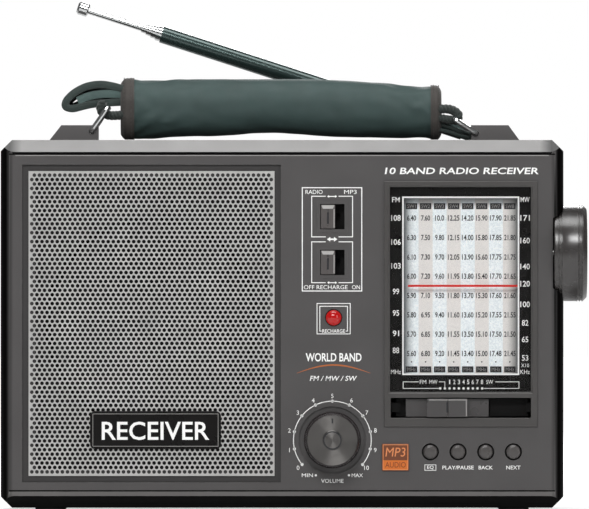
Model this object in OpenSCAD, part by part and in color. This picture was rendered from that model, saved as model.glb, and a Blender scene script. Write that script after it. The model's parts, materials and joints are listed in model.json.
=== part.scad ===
// Portable multiband receiver with a rope-hung padded handle and a telescopic antenna.
// Everything is drawn about the middle of the case: X to the right, Y to the back, Z up.
// placed() then moves each piece so that the origin is the middle of the whole footprint.

/* [Case] */
// Width of the case
case_w = 262; // [260:1:268]
// Height of the case without its feet
case_h = 171.2; // [170.6:0.2:174]
// Depth of the case from front to back
case_d = 88; // [86:1:92]
// Thickness of the moulded walls
wall = 2.5; // [2.2:0.1:2.8]
// Size of the cut across each outline corner
corner_cut = 5.3; // [4:0.1:6]
// Height of the sloping bands along the top and bottom of the front
edge_band = 5.6; // [4:0.1:6]
// Height of the rubber feet
foot_h = 2; // [1.5:0.1:4]
// Depth of the rear shell behind the seam
rear_shell_d = 22; // [21:0.5:24]
// How much lower the rear shell's top is, so that the antenna lies flat
rear_step = 3.2; // [3:0.1:3.6]

/* [Speaker] */
// Width of the perforated grille
grille_w = 114.4; // [110:0.2:115]
// Height of the perforated grille
grille_h = 141.8; // [136:0.2:142]
// Width of the sunken border round the grille
grille_border = 3; // [2:0.1:3.4]
// Diameter of the speaker's mounting flange
speaker_d = 110; // [100:1:112]

/* [Dial] */
// Width of the dial glass
glass_w = 65.6; // [64:0.2:66]
// Height of the dial glass
glass_h = 95.3; // [92:0.1:96]
// Width of the scale card behind the glass
card_w = 53.4; // [50:0.2:54]
// Height of the scale card
card_h = 82.6; // [78:0.2:84]
// Effective radius of the cord on the tuning spindle
spindle_r = 3; // [2.8:0.1:3.1]
// Effective radius of the cord on the capacitor drum
drum_r = 19.7; // [18:0.1:20]

/* [Knobs and buttons] */
// Diameter of the tuning knob
tuning_d = 44.9; // [40:0.1:45]
// Width of the tuning knob along its axis
tuning_w = 15.4; // [12:0.1:18]
// Diameter of the volume knob
volume_d = 26.4; // [22:0.1:28]
// How far the volume knob stands out
volume_h = 11.6; // [9:0.1:14]
// Diameter of the push buttons
button_d = 6.5; // [5.5:0.1:7]
// Distance between the push buttons
button_pitch = 12.87; // [11:0.01:13]
// Travel of the push buttons
button_travel = 0.8; // [0.4:0.1:0.9]
// Travel of the two slide switch caps
switch_travel = 4; // [3:0.1:4.2]
// Step of the band slider from one band to the next
band_pitch = 2.13; // [1.8:0.01:2.15]

/* [Antenna] */
// Outer diameter of the antenna's outer tube
antenna_d = 8; // [7:0.1:8]
// Distance from the tilt pin to the end of the outer tube
antenna_l = 156.4; // [140:0.2:160]
// Lean of the antenna above level at rest
antenna_lean = 17.9; // [5:0.1:60]
// How far each inner section stands out of the one before it
section_step = 2.42; // [2:0.02:3]
// Wall thickness of the antenna's tubes
tube_wall = 0.45; // [0.4:0.01:0.5]

/* [Handle] */
// Length of the padded sleeve with its end trims
handle_l = 148.4; // [140:0.2:152]
// Height of the sleeve at its left end
sleeve_left_h = 28; // [24:0.2:29]
// Height of the sleeve at its right end
sleeve_right_h = 24.8; // [22:0.2:28]
// Depth of the sleeve
sleeve_d = 26; // [22:0.2:27]
// Height of the bosses that hold the handle
boss_h = 7.1; // [6.5:0.1:8]

/* [Battery] */
// Diameter of a cell
cell_d = 33; // [32:0.1:33.2]
// Length of a cell
cell_l = 60.2; // [59:0.1:60.6]
// Number of cells in the row
cell_count = 3; // [2:1:3]

/* [Hidden] */
$fn = 64;

// Clearances: between moving pieces, and of a running shaft in its bore.
gap = 0.3;
run = 0.05;

// Case planes.
z_bottom = foot_h;
z_top = foot_h + case_h;
z_rear_top = z_top - rear_step;
y_front = -case_d / 2;
y_back = case_d / 2;
y_seam = y_back - rear_shell_d;
y_wall = y_front + wall;
x_side = case_w / 2;
front_edge_r = 6.5;
back_edge_r = 3;
band_depth = 5;
groove_w = 0.7;
groove_deep = 0.5;

// Middle of the whole footprint, from the knobs that stand out at the right and front.
tuning_x0 = x_side - 4.4;
tuning_x1 = tuning_x0 + tuning_w;
volume_y = y_front - volume_h;
case_x = -(tuning_x1 - x_side) / 2;
case_y = -(volume_y + y_back) / 2;

// Speaker.
grille_at = [-60.7, 87.8];
grille_t = 0.8;
recess_deep = 1.2;
grille_lap = 2.9;
baffle_t = 3;
cone_r = 46;
magnet_r = 32;
badge_x = [-89.3, -28.4];
badge_z = [29.4, 47.1];

// Dial glass, band slot, frame and card, as [low, high] pairs.
glass_x = [83 - glass_w / 2, 83 + glass_w / 2];
glass_z = [151.3 - glass_h, 151.3];
slot_z = [43.9, 53.2];
slot_x = [glass_x[0] + 0.3, glass_x[1]];
frame_x = [glass_x[0] - 2.7, glass_x[1] + 3];
frame_z = [slot_z[0] - 4.1, glass_z[1] + 2.7];
frame_t = 0.9;
collar = 0.8;
glass_t = 2;
card_at = [83.2, 105.3];
card_y = [-37, -36];
chassis_y = [-36, -34.8];
chassis_z = [56.5, 157];
flange_x = [114.4, 115.6];
flange_y1 = -14;
ear_z = [58.5, 155.5];
ear_y = [-38.4, -34];
ear_t = 2;
tab_at = [46.6, 64, 148];
pillar_r = 2;

// Dial cord drive, in a plane square to X. The cord is 0.6 thick.
cord_x = 118;
cord_r = 0.3;
wheel_x = [cord_x - 1.8, cord_x + 1.8];
groove_r = spindle_r - cord_r - gap;
spindle_at = [-27.1, 120.5];
upper_at = [-33, 150];
lower_at = [-33, 66];
drum_at = [8, 112];
shaft_r = 3;
pin_r = 1.2;
rail_at = [120.8, -37];
rail_r = 1;
pointer_z = 105.3;
pocket_r = tuning_d / 2 + 1.05;
pocket_floor_x = x_side - 5;

// Front controls as [x, z].
volume_at = [23.4, 33.6];
led_at = [24, 90.5];
led_r = 3.65;
upper_switch_z = 137.5;
lower_switch_z = 116.2;
switch_h = 11.8;
window_x = [17.7, 29.1];
cap_w = 6.7;
button_x = 69;
button_z = 28.1;
mode_badge_x = [46.5, 59];
mode_badge_z = [19.3, 31.9];
button_board_x = [button_x - 10, button_x + 3 * button_pitch + 8];
button_board_z = [18, 38];
button_board_y = y_wall + 7.2;
button_stem_y = y_wall + 2.6;
board_t = 1.6;

// Band selector: its slider's plate and cap, and the stem that works the switch.
slider_x = [57.6, 96.1];
slider_cap_x = [67.4, 86.3];
slider_stem_x = [75, 79];
band_switch_x = [53, 114.6];
band_switch_z = [44.6, 52.8];
bracket_x = [44.5, 121.5];
bracket_z = [46.5, 51];

// Screws and their posts.
post_r = 3.5;
screw_r = 1.5;
screw_posts = [[-121.5, 12], [121.5, 12], [-121.5, 161], [121.5, 161], [4, 163.5]];
screw_seat_y = y_seam + 8;

// Left-side sockets: [y, z] centres.
jack_at = [3, 80];
usb_at = [2.4, 64];
card_slot_at = [4.4, 40];
inlet_at = [33, 52];
inlet_pin_pitch = 8.6;
inlet_y = [inlet_at[0] - 7.2, inlet_at[0] + 6.3];
inlet_z = [inlet_at[1] - 3.85, inlet_at[1] + 3.85];
inlet_wall = 1.2;

// Boards and the ferrite rod inside, held by posts and cradles of the cabinets.
media_y = 6;
media_z = [26, 86];
media_rib_z = [28, 82];
main_y = y_seam + 2;
main_x = [0, 112];
main_z = [52, 156];
main_posts = [[5, 57], [107, 57], [5, 136], [107, 151]];
main_post_r = 2.5;
ferrite_at = [y_back - 11, 146];
ferrite_r = 5;
ferrite_x = [-110, 60];
cradle_x = [-90, 8];
cradle_t = 3;

// Battery compartment.
bay_x = [-78, 114];
bay_y0 = y_seam - 18;
bay_wall = 2;
bay_z1 = 48;
door_x = [-68, 106];
door_pin = [42.4, 10.6];
door_pin_r = 0.9;
door_half_t = 1.2;
door_z1 = 45.2;

// Antenna: swivel axis and tilt pin.
antenna_at = [92.1, 32];
tilt_z = 175.5;
tilt_r = 1.5;
tongue_half = 1.85;
rod_l = 192.6;
tip_l = 5.4;
tip_r = 3.1;

// Handle.
handle_y = -6;
sleeve_x = [-74.4, -74.4 + handle_l];
sleeve_lift = 0.4;
trim_w = [7.1, 5];
strap_w = 20;
link_r = 1.2;
link_half = 15.4;
link_bend = 1.4;
link_gap = 0.2;
link_steps = 4;
left_pin = [-89, z_top + 4.4];
left_eye = [-81.4, z_top + 15.3];
right_pin = [90.6, z_top + 3.4];
right_eye = [80.5, z_top + 10];

// Helpers -------------------------------------------------------------------

// Moves a piece from the case's own middle to the middle of the footprint.
module placed() {
    translate([case_x, case_y, 0]) children();
}

// A shape drawn in X and Z, from depth y0 back to y1.
module panel(y0, y1) {
    translate([0, y1, 0]) rotate([90, 0, 0]) linear_extrude(y1 - y0) children();
}

// A shape drawn in Y and Z, from x0 to x1.
module slab(x0, x1) {
    translate([x0, 0, 0]) rotate([90, 0, 90]) linear_extrude(x1 - x0) children();
}

// A rectangle between two [low, high] pairs.
module span(a, b) {
    translate([a[0], b[0]]) square([a[1] - a[0], b[1] - b[0]]);
}

// A box between three [low, high] pairs.
module block(x, y, z) {
    translate([x[0], y[0], z[0]]) cube([x[1] - x[0], y[1] - y[0], z[1] - z[0]]);
}

// A rectangle with round corners, kept as straight edges and true arcs.
module round_span(a, b, r) {
    translate([a[0] + r, b[0]]) square([a[1] - a[0] - 2 * r, b[1] - b[0]]);
    translate([a[0], b[0] + r]) square([a[1] - a[0], b[1] - b[0] - 2 * r]);
    for (x = [a[0] + r, a[1] - r], z = [b[0] + r, b[1] - r]) translate([x, z]) circle(r);
}

module rod_x(at, r, x0, x1) {
    translate([x0, at[0], at[1]]) rotate([0, 90, 0]) cylinder(r = r, h = x1 - x0);
}

module rod_y(at, r, y0, y1) {
    translate([at[0], y1, at[1]]) rotate([90, 0, 0]) cylinder(r = r, h = y1 - y0);
}

module rod_z(at, r, z0, z1) {
    translate([at[0], at[1], z0]) cylinder(r = r, h = z1 - z0);
}

// A turned shape about an axis along X: points are [radius, x].
module turned_x(at, points) {
    translate([0, at[0], at[1]]) rotate([0, 90, 0]) rotate_extrude() polygon(points);
}

// A turned shape about an axis along Y: points are [radius, y].
module turned_y(at, points) {
    translate([at[0], 0, at[1]]) rotate([-90, 0, 0]) rotate_extrude() polygon(points);
}

function grown(span, by) = [span[0] - by, span[1] + by];
function unit(v) = v / norm(v);
function clamp_index(i, n) = max(0, min(n - 1, i));
function heading(path, i) =
    unit(path[clamp_index(i + 1, len(path))] - path[clamp_index(i - 1, len(path))]);

// A round tube swept along a route; across is a direction that the route never follows.
module sweep(path, r, across, sides = 8) {
    rings = [for (i = [0:len(path) - 1])
        let (t = heading(path, i), u = unit(cross(t, across)), v = cross(t, u))
            for (k = [0:sides - 1])
                path[i] + r * (cos(360 * k / sides) * u + sin(360 * k / sides) * v)];
    last = len(path) - 1;
    sheath = [for (i = [0:last - 1], k = [0:sides - 1])
        let (a = i * sides + k, b = i * sides + (k + 1) % sides)
            [b, a, a + sides, b + sides]];
    ends = [[for (k = [0:sides - 1]) k], [for (k = [sides - 1:-1:0]) last * sides + k]];
    polyhedron(points = rings, faces = concat(sheath, ends), convexity = 6);
}

// Points along an arc in the Y-Z plane at x, from angle a0 to a1.
function arc_points(x, at, r, a0, a1, n) =
    [for (i = [0:n]) let (a = a0 + (a1 - a0) * i / n)
        [x, at[0] + r * cos(a), at[1] + r * sin(a)]];

// Angle on both circles where an outer tangent touches, on the left of the way from a to b.
function outer_angle(a, b, ra, rb) =
    let (d = b - a) atan2(d[1], d[0]) + acos((ra - rb) / norm(d));

// The same for a crossing tangent.
function cross_angle(a, b, ra, rb) =
    let (d = b - a) atan2(d[1], d[0]) + acos((ra + rb) / norm(d));

// A strip of even thickness along a drawn line, with round joints between its straights.
module strip(line, half) {
    for (i = [0:len(line) - 2]) {
        t = unit(line[i + 1] - line[i]);
        side = half * [-t[1], t[0]];
        polygon([line[i] + side, line[i] - side, line[i + 1] - side, line[i + 1] + side]);
    }
    for (i = [1:len(line) - 2]) translate(line[i]) circle(half);
}

// Case ----------------------------------------------------------------------

// Outline of the case seen from the front, moved in by inset.
module case_front_outline(inset, top) {
    x = x_side - inset;
    z0 = z_bottom + inset;
    z1 = top - inset;
    c = corner_cut - inset * (2 - sqrt(2));
    polygon([[-x + c, z0], [x - c, z0], [x, z0 + c], [x, z1 - c],
        [x - c, z1], [-x + c, z1], [-x, z1 - c], [-x, z0 + c]]);
}

// Plan of the case, with rounded upright edges.
module case_plan(inset) {
    rf = front_edge_r - inset;
    rb = back_edge_r - min(inset, back_edge_r - 0.2);
    x = x_side - inset;
    y0 = y_front + inset;
    y1 = y_back - inset;
    translate([-x + rf, y0]) square([2 * (x - rf), y1 - rb - y0]);
    translate([-x, y0 + rf]) square([2 * x, y1 - rb - y0 - rf]);
    translate([-x + rb, y1 - 2 * rb]) square([2 * (x - rb), 2 * rb]);
    for (s = [-1, 1]) {
        translate([s * (x - rf), y0 + rf]) circle(rf);
        translate([s * (x - rb), y1 - rb]) circle(rb);
    }
}

// Side view of the case, with the sloping bands at the front.
module case_profile(inset) {
    y0 = y_front + inset;
    z0 = z_bottom + inset;
    z1 = z_top - inset;
    polygon([[y0, z0 + edge_band], [y0 + band_depth, z0], [y_back - inset, z0],
        [y_back - inset, z1], [y0 + band_depth, z1], [y0, z1 - edge_band]]);
}

module case_solid(inset, y0, y1, top) {
    intersection() {
        panel(y0, y1) case_front_outline(inset, top);
        linear_extrude(z_top + 1) case_plan(inset);
        slab(-x_side, x_side) case_profile(inset);
    }
}

module switch_window(z) {
    half = switch_h / 2;
    panel(y_front - 1, y_wall + 1) span(window_x, [z - half, z + half]);
    panel(y_front - 1, y_front + 0.6) span([window_x[0] - 1, window_x[1] + 0.6],
        [z - half - 1, z + half + 1]);
}

// Sunken places and openings in the front wall.
module front_openings() {
    border = grille_border;
    gx = [grille_at[0] - grille_w / 2, grille_at[0] + grille_w / 2];
    gz = [grille_at[1] - grille_h / 2, grille_at[1] + grille_h / 2];
    panel(y_front - 1, y_front + recess_deep)
        span([gx[0] - border, gx[1] + border], [gz[0] - border, gz[1] + border]);
    panel(y_front - 1, y_wall + 1)
        span([gx[0] + grille_lap, gx[1] - grille_lap], [gz[0] + grille_lap, gz[1] - grille_lap]);
    panel(y_front - 1, y_wall + 1)
        span([glass_x[0] - collar, glass_x[1] + collar], [slot_z[0] - collar, glass_z[1] + collar]);
    switch_window(upper_switch_z);
    switch_window(lower_switch_z);
    rod_y(led_at, led_r, y_front - 1, y_wall + 1);
    rod_y(volume_at, volume_d / 2 + 2.5, y_front - 1, y_front + 1);
    rod_y(volume_at, 4.6, y_front - 1, y_wall + 1);
    for (i = [0:3]) {
        at = [button_x + i * button_pitch, button_z];
        rod_y(at, button_d / 2 + gap, y_front - 1, y_wall + 1);
        rod_y(at, button_d / 2 + 0.75, y_front - 1, y_front + 0.5);
    }
}

// Holes for the sockets in the left wall.
module socket_holes() {
    x = [-x_side - 1, -x_side + wall + 1];
    rod_x(jack_at, 3.1, x[0], x[1]);
    block(x, [usb_at[0] - 3.6, usb_at[0] + 3.6], [usb_at[1] - 7.4, usb_at[1] + 7.4]);
    block(x, [card_slot_at[0] - 1.6, card_slot_at[0] + 1.6],
        [card_slot_at[1] - 12.2, card_slot_at[1] + 12.2]);
}

// Pillars and ribs of the front cabinet that carry the dial chassis and the two small boards.
module inner_supports() {
    root = y_wall - 0.5;
    for (z = [tab_at[1], tab_at[2]]) rod_y([tab_at[0], z], pillar_r, root, chassis_y[0]);
    for (z = ear_z) block([117, 121], [root, ear_y[0]], [z, z + ear_t]);
    for (x = grown(button_board_x, -2.5), z = grown(button_board_z, -2.5))
        rod_y([x, z], pillar_r, root, button_board_y);
    for (z = media_rib_z)
        block([-x_side + wall - 0.5, -118], [media_y + board_t, media_y + board_t + 2], [z, z + 2]);
}

module front_cabinet() placed() color([0.34, 0.335, 0.335]) {
    difference() {
        union() {
            difference() {
                case_solid(0, y_front, y_seam, z_top);
                case_solid(wall, y_front, y_back, z_top);
            }
            // Lip that closes the step down to the rear shell.
            panel(y_seam - 2, y_seam) intersection() {
                case_front_outline(0, z_top);
                span([-x_side, x_side], [z_rear_top - wall, z_top]);
            }
            // Shell round the tuning knob's pocket.
            intersection() {
                case_solid(0, y_front, y_seam, z_top);
                rod_x(spindle_at, pocket_r + 2, pocket_floor_x - 2, x_side);
            }
            for (at = screw_posts) rod_y(at, post_r, y_wall, y_seam);
            inner_supports();
        }
        rod_x(spindle_at, pocket_r, pocket_floor_x, x_side + 1);
        rod_x(spindle_at, 5, pocket_floor_x - 3, pocket_floor_x + 1);
        for (at = screw_posts) rod_y(at, screw_r + 0.05, y_seam - 16, y_seam + 1);
        front_openings();
        socket_holes();
        for (z = [z_bottom + edge_band + 2, z_top - edge_band - 1.4])
            panel(y_front - 1, y_front + groove_deep)
                span([-x_side, x_side], [z, z + groove_w]);
    }
}

// Inside of the battery compartment.
module bay_inside() {
    block([bay_x[0] + bay_wall, bay_x[1] - bay_wall], [bay_y0 + bay_wall, y_back - wall],
        [z_bottom + wall + bay_wall, bay_z1 - bay_wall]);
}

module rear_cabinet() placed() color([0.3, 0.295, 0.295]) {
    difference() {
        union() {
            difference() {
                case_solid(0, y_seam, y_back, z_rear_top);
                case_solid(wall, y_front, y_back, z_rear_top);
            }
            for (at = screw_posts) rod_y(at, post_r + 1, y_seam, y_back - 1);
            block(bay_x, [bay_y0, y_back - wall], [z_bottom + wall, bay_z1]);
            // Posts of the main board and cradles of the ferrite rod.
            for (at = main_posts) rod_y(at, main_post_r, main_y + board_t, y_back - 1);
            for (x = cradle_x)
                block([x, x + cradle_t], [ferrite_at[0], y_back - 1],
                    [ferrite_at[1] - ferrite_r - 2, ferrite_at[1] + ferrite_r + 2]);
            // Bearings for the door's pins.
            for (x = [door_x[0] - 4, door_x[1]])
                block([x, x + 4], [38, y_back - 0.2], [door_pin[1] - 4, door_pin[1] + 4]);
        }
        bay_inside_less_bearings();
        rod_x(ferrite_at, ferrite_r + run, ferrite_x[0], ferrite_x[1]);
        block(door_x, [y_back - wall - 1, y_back + 1], [door_pin[1] - 1.7, door_z1 + 0.4]);
        block(door_x, [37, y_back + 1], [door_pin[1] - 1.7, door_pin[1] + 4.5]);
        rod_x(door_pin, door_pin_r + run, door_x[0] - 3, door_x[1] + 3);
        for (at = screw_posts) {
            rod_y(at, screw_r + 0.3, y_seam - 1, y_back + 1);
            rod_y(at, 3.1, screw_seat_y, y_back + 1);
        }
        rod_z(antenna_at, 6, z_rear_top - wall - 1, z_rear_top + 1);
        block([-x_side - 1, -x_side + wall + 1], grown(inlet_y, inlet_wall + 0.1),
            grown(inlet_z, inlet_wall + 0.1));
        for (i = [0:8])
            panel(y_back - wall - 1, y_back + 1)
                round_span([-94 + i * 9, -91.5 + i * 9], [72, 118], 1.2);
    }
}

// The compartment's hollow leaves the door's two bearing blocks standing.
module bay_inside_less_bearings() {
    difference() {
        bay_inside();
        for (x = [door_x[0] - 4, door_x[1]])
            block([x, x + 4], [38, y_back], [door_pin[1] - 4, door_pin[1] + 4]);
    }
}

// Door, its rounded lower edge and the two pins that it turns on.
module battery_door() placed() color([0.3, 0.295, 0.295]) {
    x = [door_x[0] + 0.4, door_x[1] - 0.4];
    block(x, [door_pin[0] - door_half_t, door_pin[0] + door_half_t], [door_pin[1], door_z1]);
    rod_x(door_pin, door_half_t, x[0], x[1]);
    rod_x(door_pin, door_pin_r, door_x[0] - 2.6, door_x[1] + 2.6);
}

module feet() placed() color([0.08, 0.08, 0.08]) {
    for (x = [-108, 108], y = [-30, 30]) translate([x, y, 0]) {
        cylinder(r1 = 6, r2 = 7, h = foot_h / 2);
        translate([0, 0, foot_h / 2]) cylinder(r = 7, h = foot_h / 2);
    }
}

module cabinet_screws() placed() color([0.5, 0.5, 0.52]) {
    for (at = screw_posts) {
        rod_y(at, screw_r, screw_seat_y - 20, screw_seat_y);
        difference() {
            rod_y(at, 2.9, screw_seat_y, screw_seat_y + 2.2);
            block([at[0] - 2, at[0] + 2], [screw_seat_y + 1, screw_seat_y + 3],
                [at[1] - 0.4, at[1] + 0.4]);
            block([at[0] - 0.4, at[0] + 0.4], [screw_seat_y + 1, screw_seat_y + 3],
                [at[1] - 2, at[1] + 2]);
        }
    }
}

// Speaker -------------------------------------------------------------------

module speaker_grille() placed() color([0.66, 0.66, 0.66])
    panel(y_front + recess_deep - grille_t, y_front + recess_deep)
        round_span([grille_at[0] - grille_w / 2, grille_at[0] + grille_w / 2],
            [grille_at[1] - grille_h / 2, grille_at[1] + grille_h / 2], 1);

module grille_badge() placed() color([0.13, 0.12, 0.11]) {
    y = y_front + recess_deep - grille_t;
    panel(y - 1.2, y) round_span(badge_x, badge_z, 2.4);
}

module speaker_baffle() placed() color([0.05, 0.05, 0.05])
    panel(y_wall, y_wall + baffle_t) difference() {
        span([-117.4, -2.4], [16, 160]);
        translate(grille_at) circle(cone_r + 4);
    }

module speaker_basket() placed() color([0.55, 0.55, 0.56]) {
    y = y_wall + baffle_t;
    turned_y(grille_at, [[cone_r + 1, y], [speaker_d / 2, y], [speaker_d / 2, y + 1.2],
        [cone_r + 2.2, y + 1.2], [36, y + 20], [33, y + 24], [18, y + 24],
        [18, y + 22.8], [32, y + 22.8], [34.6, y + 19.4], [cone_r + 1, y + 0.6]]);
}

module speaker_cone() placed() color([0.04, 0.04, 0.045]) {
    y = y_wall + baffle_t;
    turned_y(grille_at, [[0, y + 13], [6, y + 14], [10, y + 17], [17, y + 14],
        [cone_r - 6, y + 1.6], [cone_r - 3, y - 0.6], [cone_r + 0.6, y + 0.6],
        [cone_r + 0.2, y + 1.4], [cone_r - 3, y + 0.4], [cone_r - 5.6, y + 2.6],
        [17, y + 15.2], [10, y + 18.2], [5.6, y + 15.2], [0, y + 14.2]]);
}

module speaker_magnet() placed() color([0.2, 0.2, 0.21]) {
    y = y_wall + baffle_t + 24;
    turned_y(grille_at, [[0, y], [magnet_r - 4, y], [magnet_r - 4, y + 2], [magnet_r, y + 2],
        [magnet_r, y + 13], [magnet_r - 5, y + 13], [magnet_r - 5, y + 15.5], [0, y + 15.5]]);
}

// Dial ----------------------------------------------------------------------

module dial_frame() placed() color([0.3, 0.295, 0.295]) {
    difference() {
        union() {
            panel(y_front - frame_t, y_front) span(frame_x, frame_z);
            panel(y_front, y_wall) span([glass_x[0] - collar, glass_x[1] + collar],
                [slot_z[0] - collar, glass_z[1] + collar]);
        }
        panel(y_front - 2, y_wall + 1) span(glass_x, glass_z);
        panel(y_front - 2, y_wall + 1) span(slot_x, slot_z);
        panel(y_front - 2, y_front - frame_t + 0.5)
            span([glass_x[0] - 0.7, glass_x[1] + 0.7], [glass_z[0] - 0.7, glass_z[1] + 0.7]);
    }
}

module dial_lens() placed() color([0.2, 0.22, 0.24, 0.35])
    panel(y_wall - 0.1 - glass_t, y_wall - 0.1) span(glass_x, glass_z);

module dial_scale() placed() color([0.9, 0.91, 0.93])
    panel(card_y[0], card_y[1]) span([card_at[0] - card_w / 2, card_at[0] + card_w / 2],
        [card_at[1] - card_h / 2, card_at[1] + card_h / 2]);

// Chassis plate with two fixing tabs, side flange with the pulley pins, and the pointer's rail
// between two ears.
module dial_chassis() placed() color([0.62, 0.62, 0.6]) {
    difference() {
        union() {
            panel(chassis_y[0], chassis_y[1]) span([50.4, flange_x[1]], chassis_z);
            for (z = [tab_at[1], tab_at[2]])
                panel(chassis_y[0], chassis_y[1]) span([tab_at[0] - 3, 51], [z - 3, z + 3]);
            block(flange_x, [chassis_y[1], flange_y1], [ear_z[0], ear_z[1] + ear_t]);
            for (z = ear_z) block([flange_x[0], 123], ear_y, [z, z + ear_t]);
        }
        rod_x(spindle_at, shaft_r + run, flange_x[0] - 1, flange_x[1] + 1);
    }
    for (at = [upper_at, lower_at]) {
        rod_x(at, pin_r, flange_x[1], wheel_x[1] + 0.9);
        rod_x(at, pin_r + 0.8, wheel_x[1] + 0.3, wheel_x[1] + 0.9);
    }
    rod_z(rail_at, rail_r, ear_z[0] + ear_t, ear_z[1]);
}

// Pointer bar with its slider on the rail and its clip round the cord.
module dial_pointer() placed() color([0.9, 0.12, 0.08]) {
    difference() {
        union() {
            block([58.6, 119.2], [-40.4, -39.6], [pointer_z - 0.5, pointer_z + 0.5]);
            block([116.8, rail_at[0]], [-40.4, -34.9], [pointer_z - 2, pointer_z + 2]);
            rod_z(rail_at, 2.3, pointer_z - 4, pointer_z + 4);
        }
        rod_z(rail_at, rail_r + run, pointer_z - 5, pointer_z + 5);
        rod_z([cord_x, upper_at[0] - spindle_r], 0.65, pointer_z - 3, pointer_z + 3);
    }
}

module tuning_knob() placed() color([0.16, 0.15, 0.15]) {
    r = tuning_d / 2;
    x0 = tuning_x0;
    x1 = tuning_x1;
    bore_end = x1 - 4;
    bore_r = shaft_r + run;
    turned_x(spindle_at, [[bore_r, x0], [r - 0.8, x0], [r, x0 + 0.8], [r, x0 + 2.4],
        [r - 0.5, x0 + 2.6], [r - 0.5, x0 + 3.2], [r, x0 + 3.4], [r, x1 - 4.4],
        [r - 0.5, x1 - 4.2], [r - 0.5, x1 - 3.6], [r, x1 - 3.4], [r, x1 - 2],
        [r - 2, x1], [r - 6, x1], [r - 7, x1 - 0.8], [0, x1 - 0.8], [0, bore_end],
        [bore_r, bore_end]]);
}

// Shaft with the necked spindle that drives the cord.
module tuning_shaft() placed() color([0.7, 0.7, 0.72])
    turned_x(spindle_at, [[0, 112], [shaft_r, 112], [shaft_r, wheel_x[0]],
        [groove_r, wheel_x[0] + 0.4], [groove_r, wheel_x[1] - 0.4], [shaft_r, wheel_x[1]],
        [shaft_r, tuning_x1 - 4], [0, tuning_x1 - 4]]);

module tuning_bush() placed() color([0.75, 0.6, 0.3]) {
    x = pocket_floor_x;
    r = shaft_r + run;
    flange_r = 6.5;
    bush_r = 5;
    turned_x(spindle_at, [[r, x - 3.6], [flange_r, x - 3.6], [flange_r, x - 2], [bush_r, x - 2],
        [bush_r, x], [r, x]]);
}

// Cord round the pulleys, the spindle and the drum, drawn as one open turn of the loop.
module dial_cord() placed() color([0.8, 0.78, 0.7]) {
    rs = spindle_r;
    rd = drum_r;
    to_drum = outer_angle(upper_at, drum_at, rs, rd);
    off_drum = cross_angle(drum_at, spindle_at, rd, rs);
    path = concat(
        [[cord_x, upper_at[0] - rs, lower_at[1]]],
        [[cord_x, upper_at[0] - rs, pointer_z]],
        arc_points(cord_x, upper_at, rs, 180, to_drum, 6),
        arc_points(cord_x, drum_at, rd, to_drum, off_drum - 360, 24),
        arc_points(cord_x, spindle_at, rs, off_drum - 180, 180, 6),
        arc_points(cord_x, lower_at, rs, 0, -160, 8));
    sweep(path, cord_r, [1, 0, 0]);
}

module pulley(at) {
    r = spindle_r + 0.8;
    bore = pin_r + run;
    turned_x(at, [[bore, wheel_x[0]], [r, wheel_x[0]], [r, wheel_x[0] + 0.4],
        [groove_r, cord_x - 0.7], [groove_r, cord_x + 0.7], [r, wheel_x[1] - 0.4],
        [r, wheel_x[1]], [bore, wheel_x[1]]]);
}

module upper_pulley() placed() color([0.9, 0.9, 0.88]) pulley(upper_at);

module lower_pulley() placed() color([0.9, 0.9, 0.88]) pulley(lower_at);

module cord_drum() placed() color([0.85, 0.85, 0.82]) {
    r = drum_r + 1.2;
    floor_r = drum_r - cord_r - gap;
    turned_x(drum_at, [[0, 101], [shaft_r, 101], [shaft_r, wheel_x[0] - 1], [6, wheel_x[0] - 1],
        [6, wheel_x[0]], [r, wheel_x[0]], [r, wheel_x[0] + 0.4], [floor_r, cord_x - 0.7],
        [floor_r, cord_x + 0.7], [r, wheel_x[1] - 0.4], [r, wheel_x[1]], [0, wheel_x[1]]]);
}

module tuning_capacitor() placed() color([0.75, 0.76, 0.78])
    difference() {
        block([98, 112.6], [-6, main_y], [99, 125]);
        rod_x(drum_at, shaft_r + run, 100, 113);
    }

// Band selector -------------------------------------------------------------

module band_slider() placed() color([0.35, 0.34, 0.345]) {
    z = [slot_z[0] + 0.4, slot_z[1] - 0.4];
    plate_y = [y_front + 1.4, y_wall + 0.1];
    cap_y = y_front - 2;
    mark_x = (slider_cap_x[0] + slider_cap_x[1]) / 2 + 0.15;
    block(slider_x, plate_y, z);
    difference() {
        block(slider_cap_x, [cap_y, plate_y[0]], z);
        block([mark_x - 0.3, mark_x + 0.3], [cap_y - 1, cap_y + 0.4], [z[0] - 1, z[1] + 1]);
    }
    block(slider_stem_x, [plate_y[1], y_wall + 6], [46.5, 50.5]);
}

// Switch body, its stem's window, and two brackets that lie against the front wall.
module band_switch() placed() color([0.12, 0.12, 0.13]) {
    y = y_wall + 1.4;
    play = 0.6;
    difference() {
        block(band_switch_x, [y, y_wall + 12], band_switch_z);
        block([slider_stem_x[0] - band_pitch - play, slider_stem_x[1] + 8 * band_pitch + play],
            [y_wall, y_wall + 7], [46, 51]);
    }
    block([bracket_x[0], band_switch_x[0] + 2], [y_wall, y], bracket_z);
    block([band_switch_x[1] - 1, bracket_x[1]], [y_wall, y], bracket_z);
}

// Small controls ------------------------------------------------------------

// Cap with an index groove and a stem that reaches into its switch.
module switch_cap(z) {
    half = switch_h / 2 - gap;
    x0 = window_x[0] + 0.3;
    difference() {
        block([x0, x0 + cap_w], [y_front - 0.4, y_wall + 2], [z - half, z + half]);
        block([x0 + 3.1, x0 + 3.6], [y_front - 1, y_front + 0.1], [z - half + 2, z + half - 2]);
    }
    block([x0 + 2, x0 + 4.6], [y_wall + 2, y_wall + 5], [z - 1.5, z + 1.5]);
}

module function_switch_cap() placed() color([0.12, 0.12, 0.13]) switch_cap(upper_switch_z);

module recharge_switch_cap() placed() color([0.12, 0.12, 0.13]) switch_cap(lower_switch_z);

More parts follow.
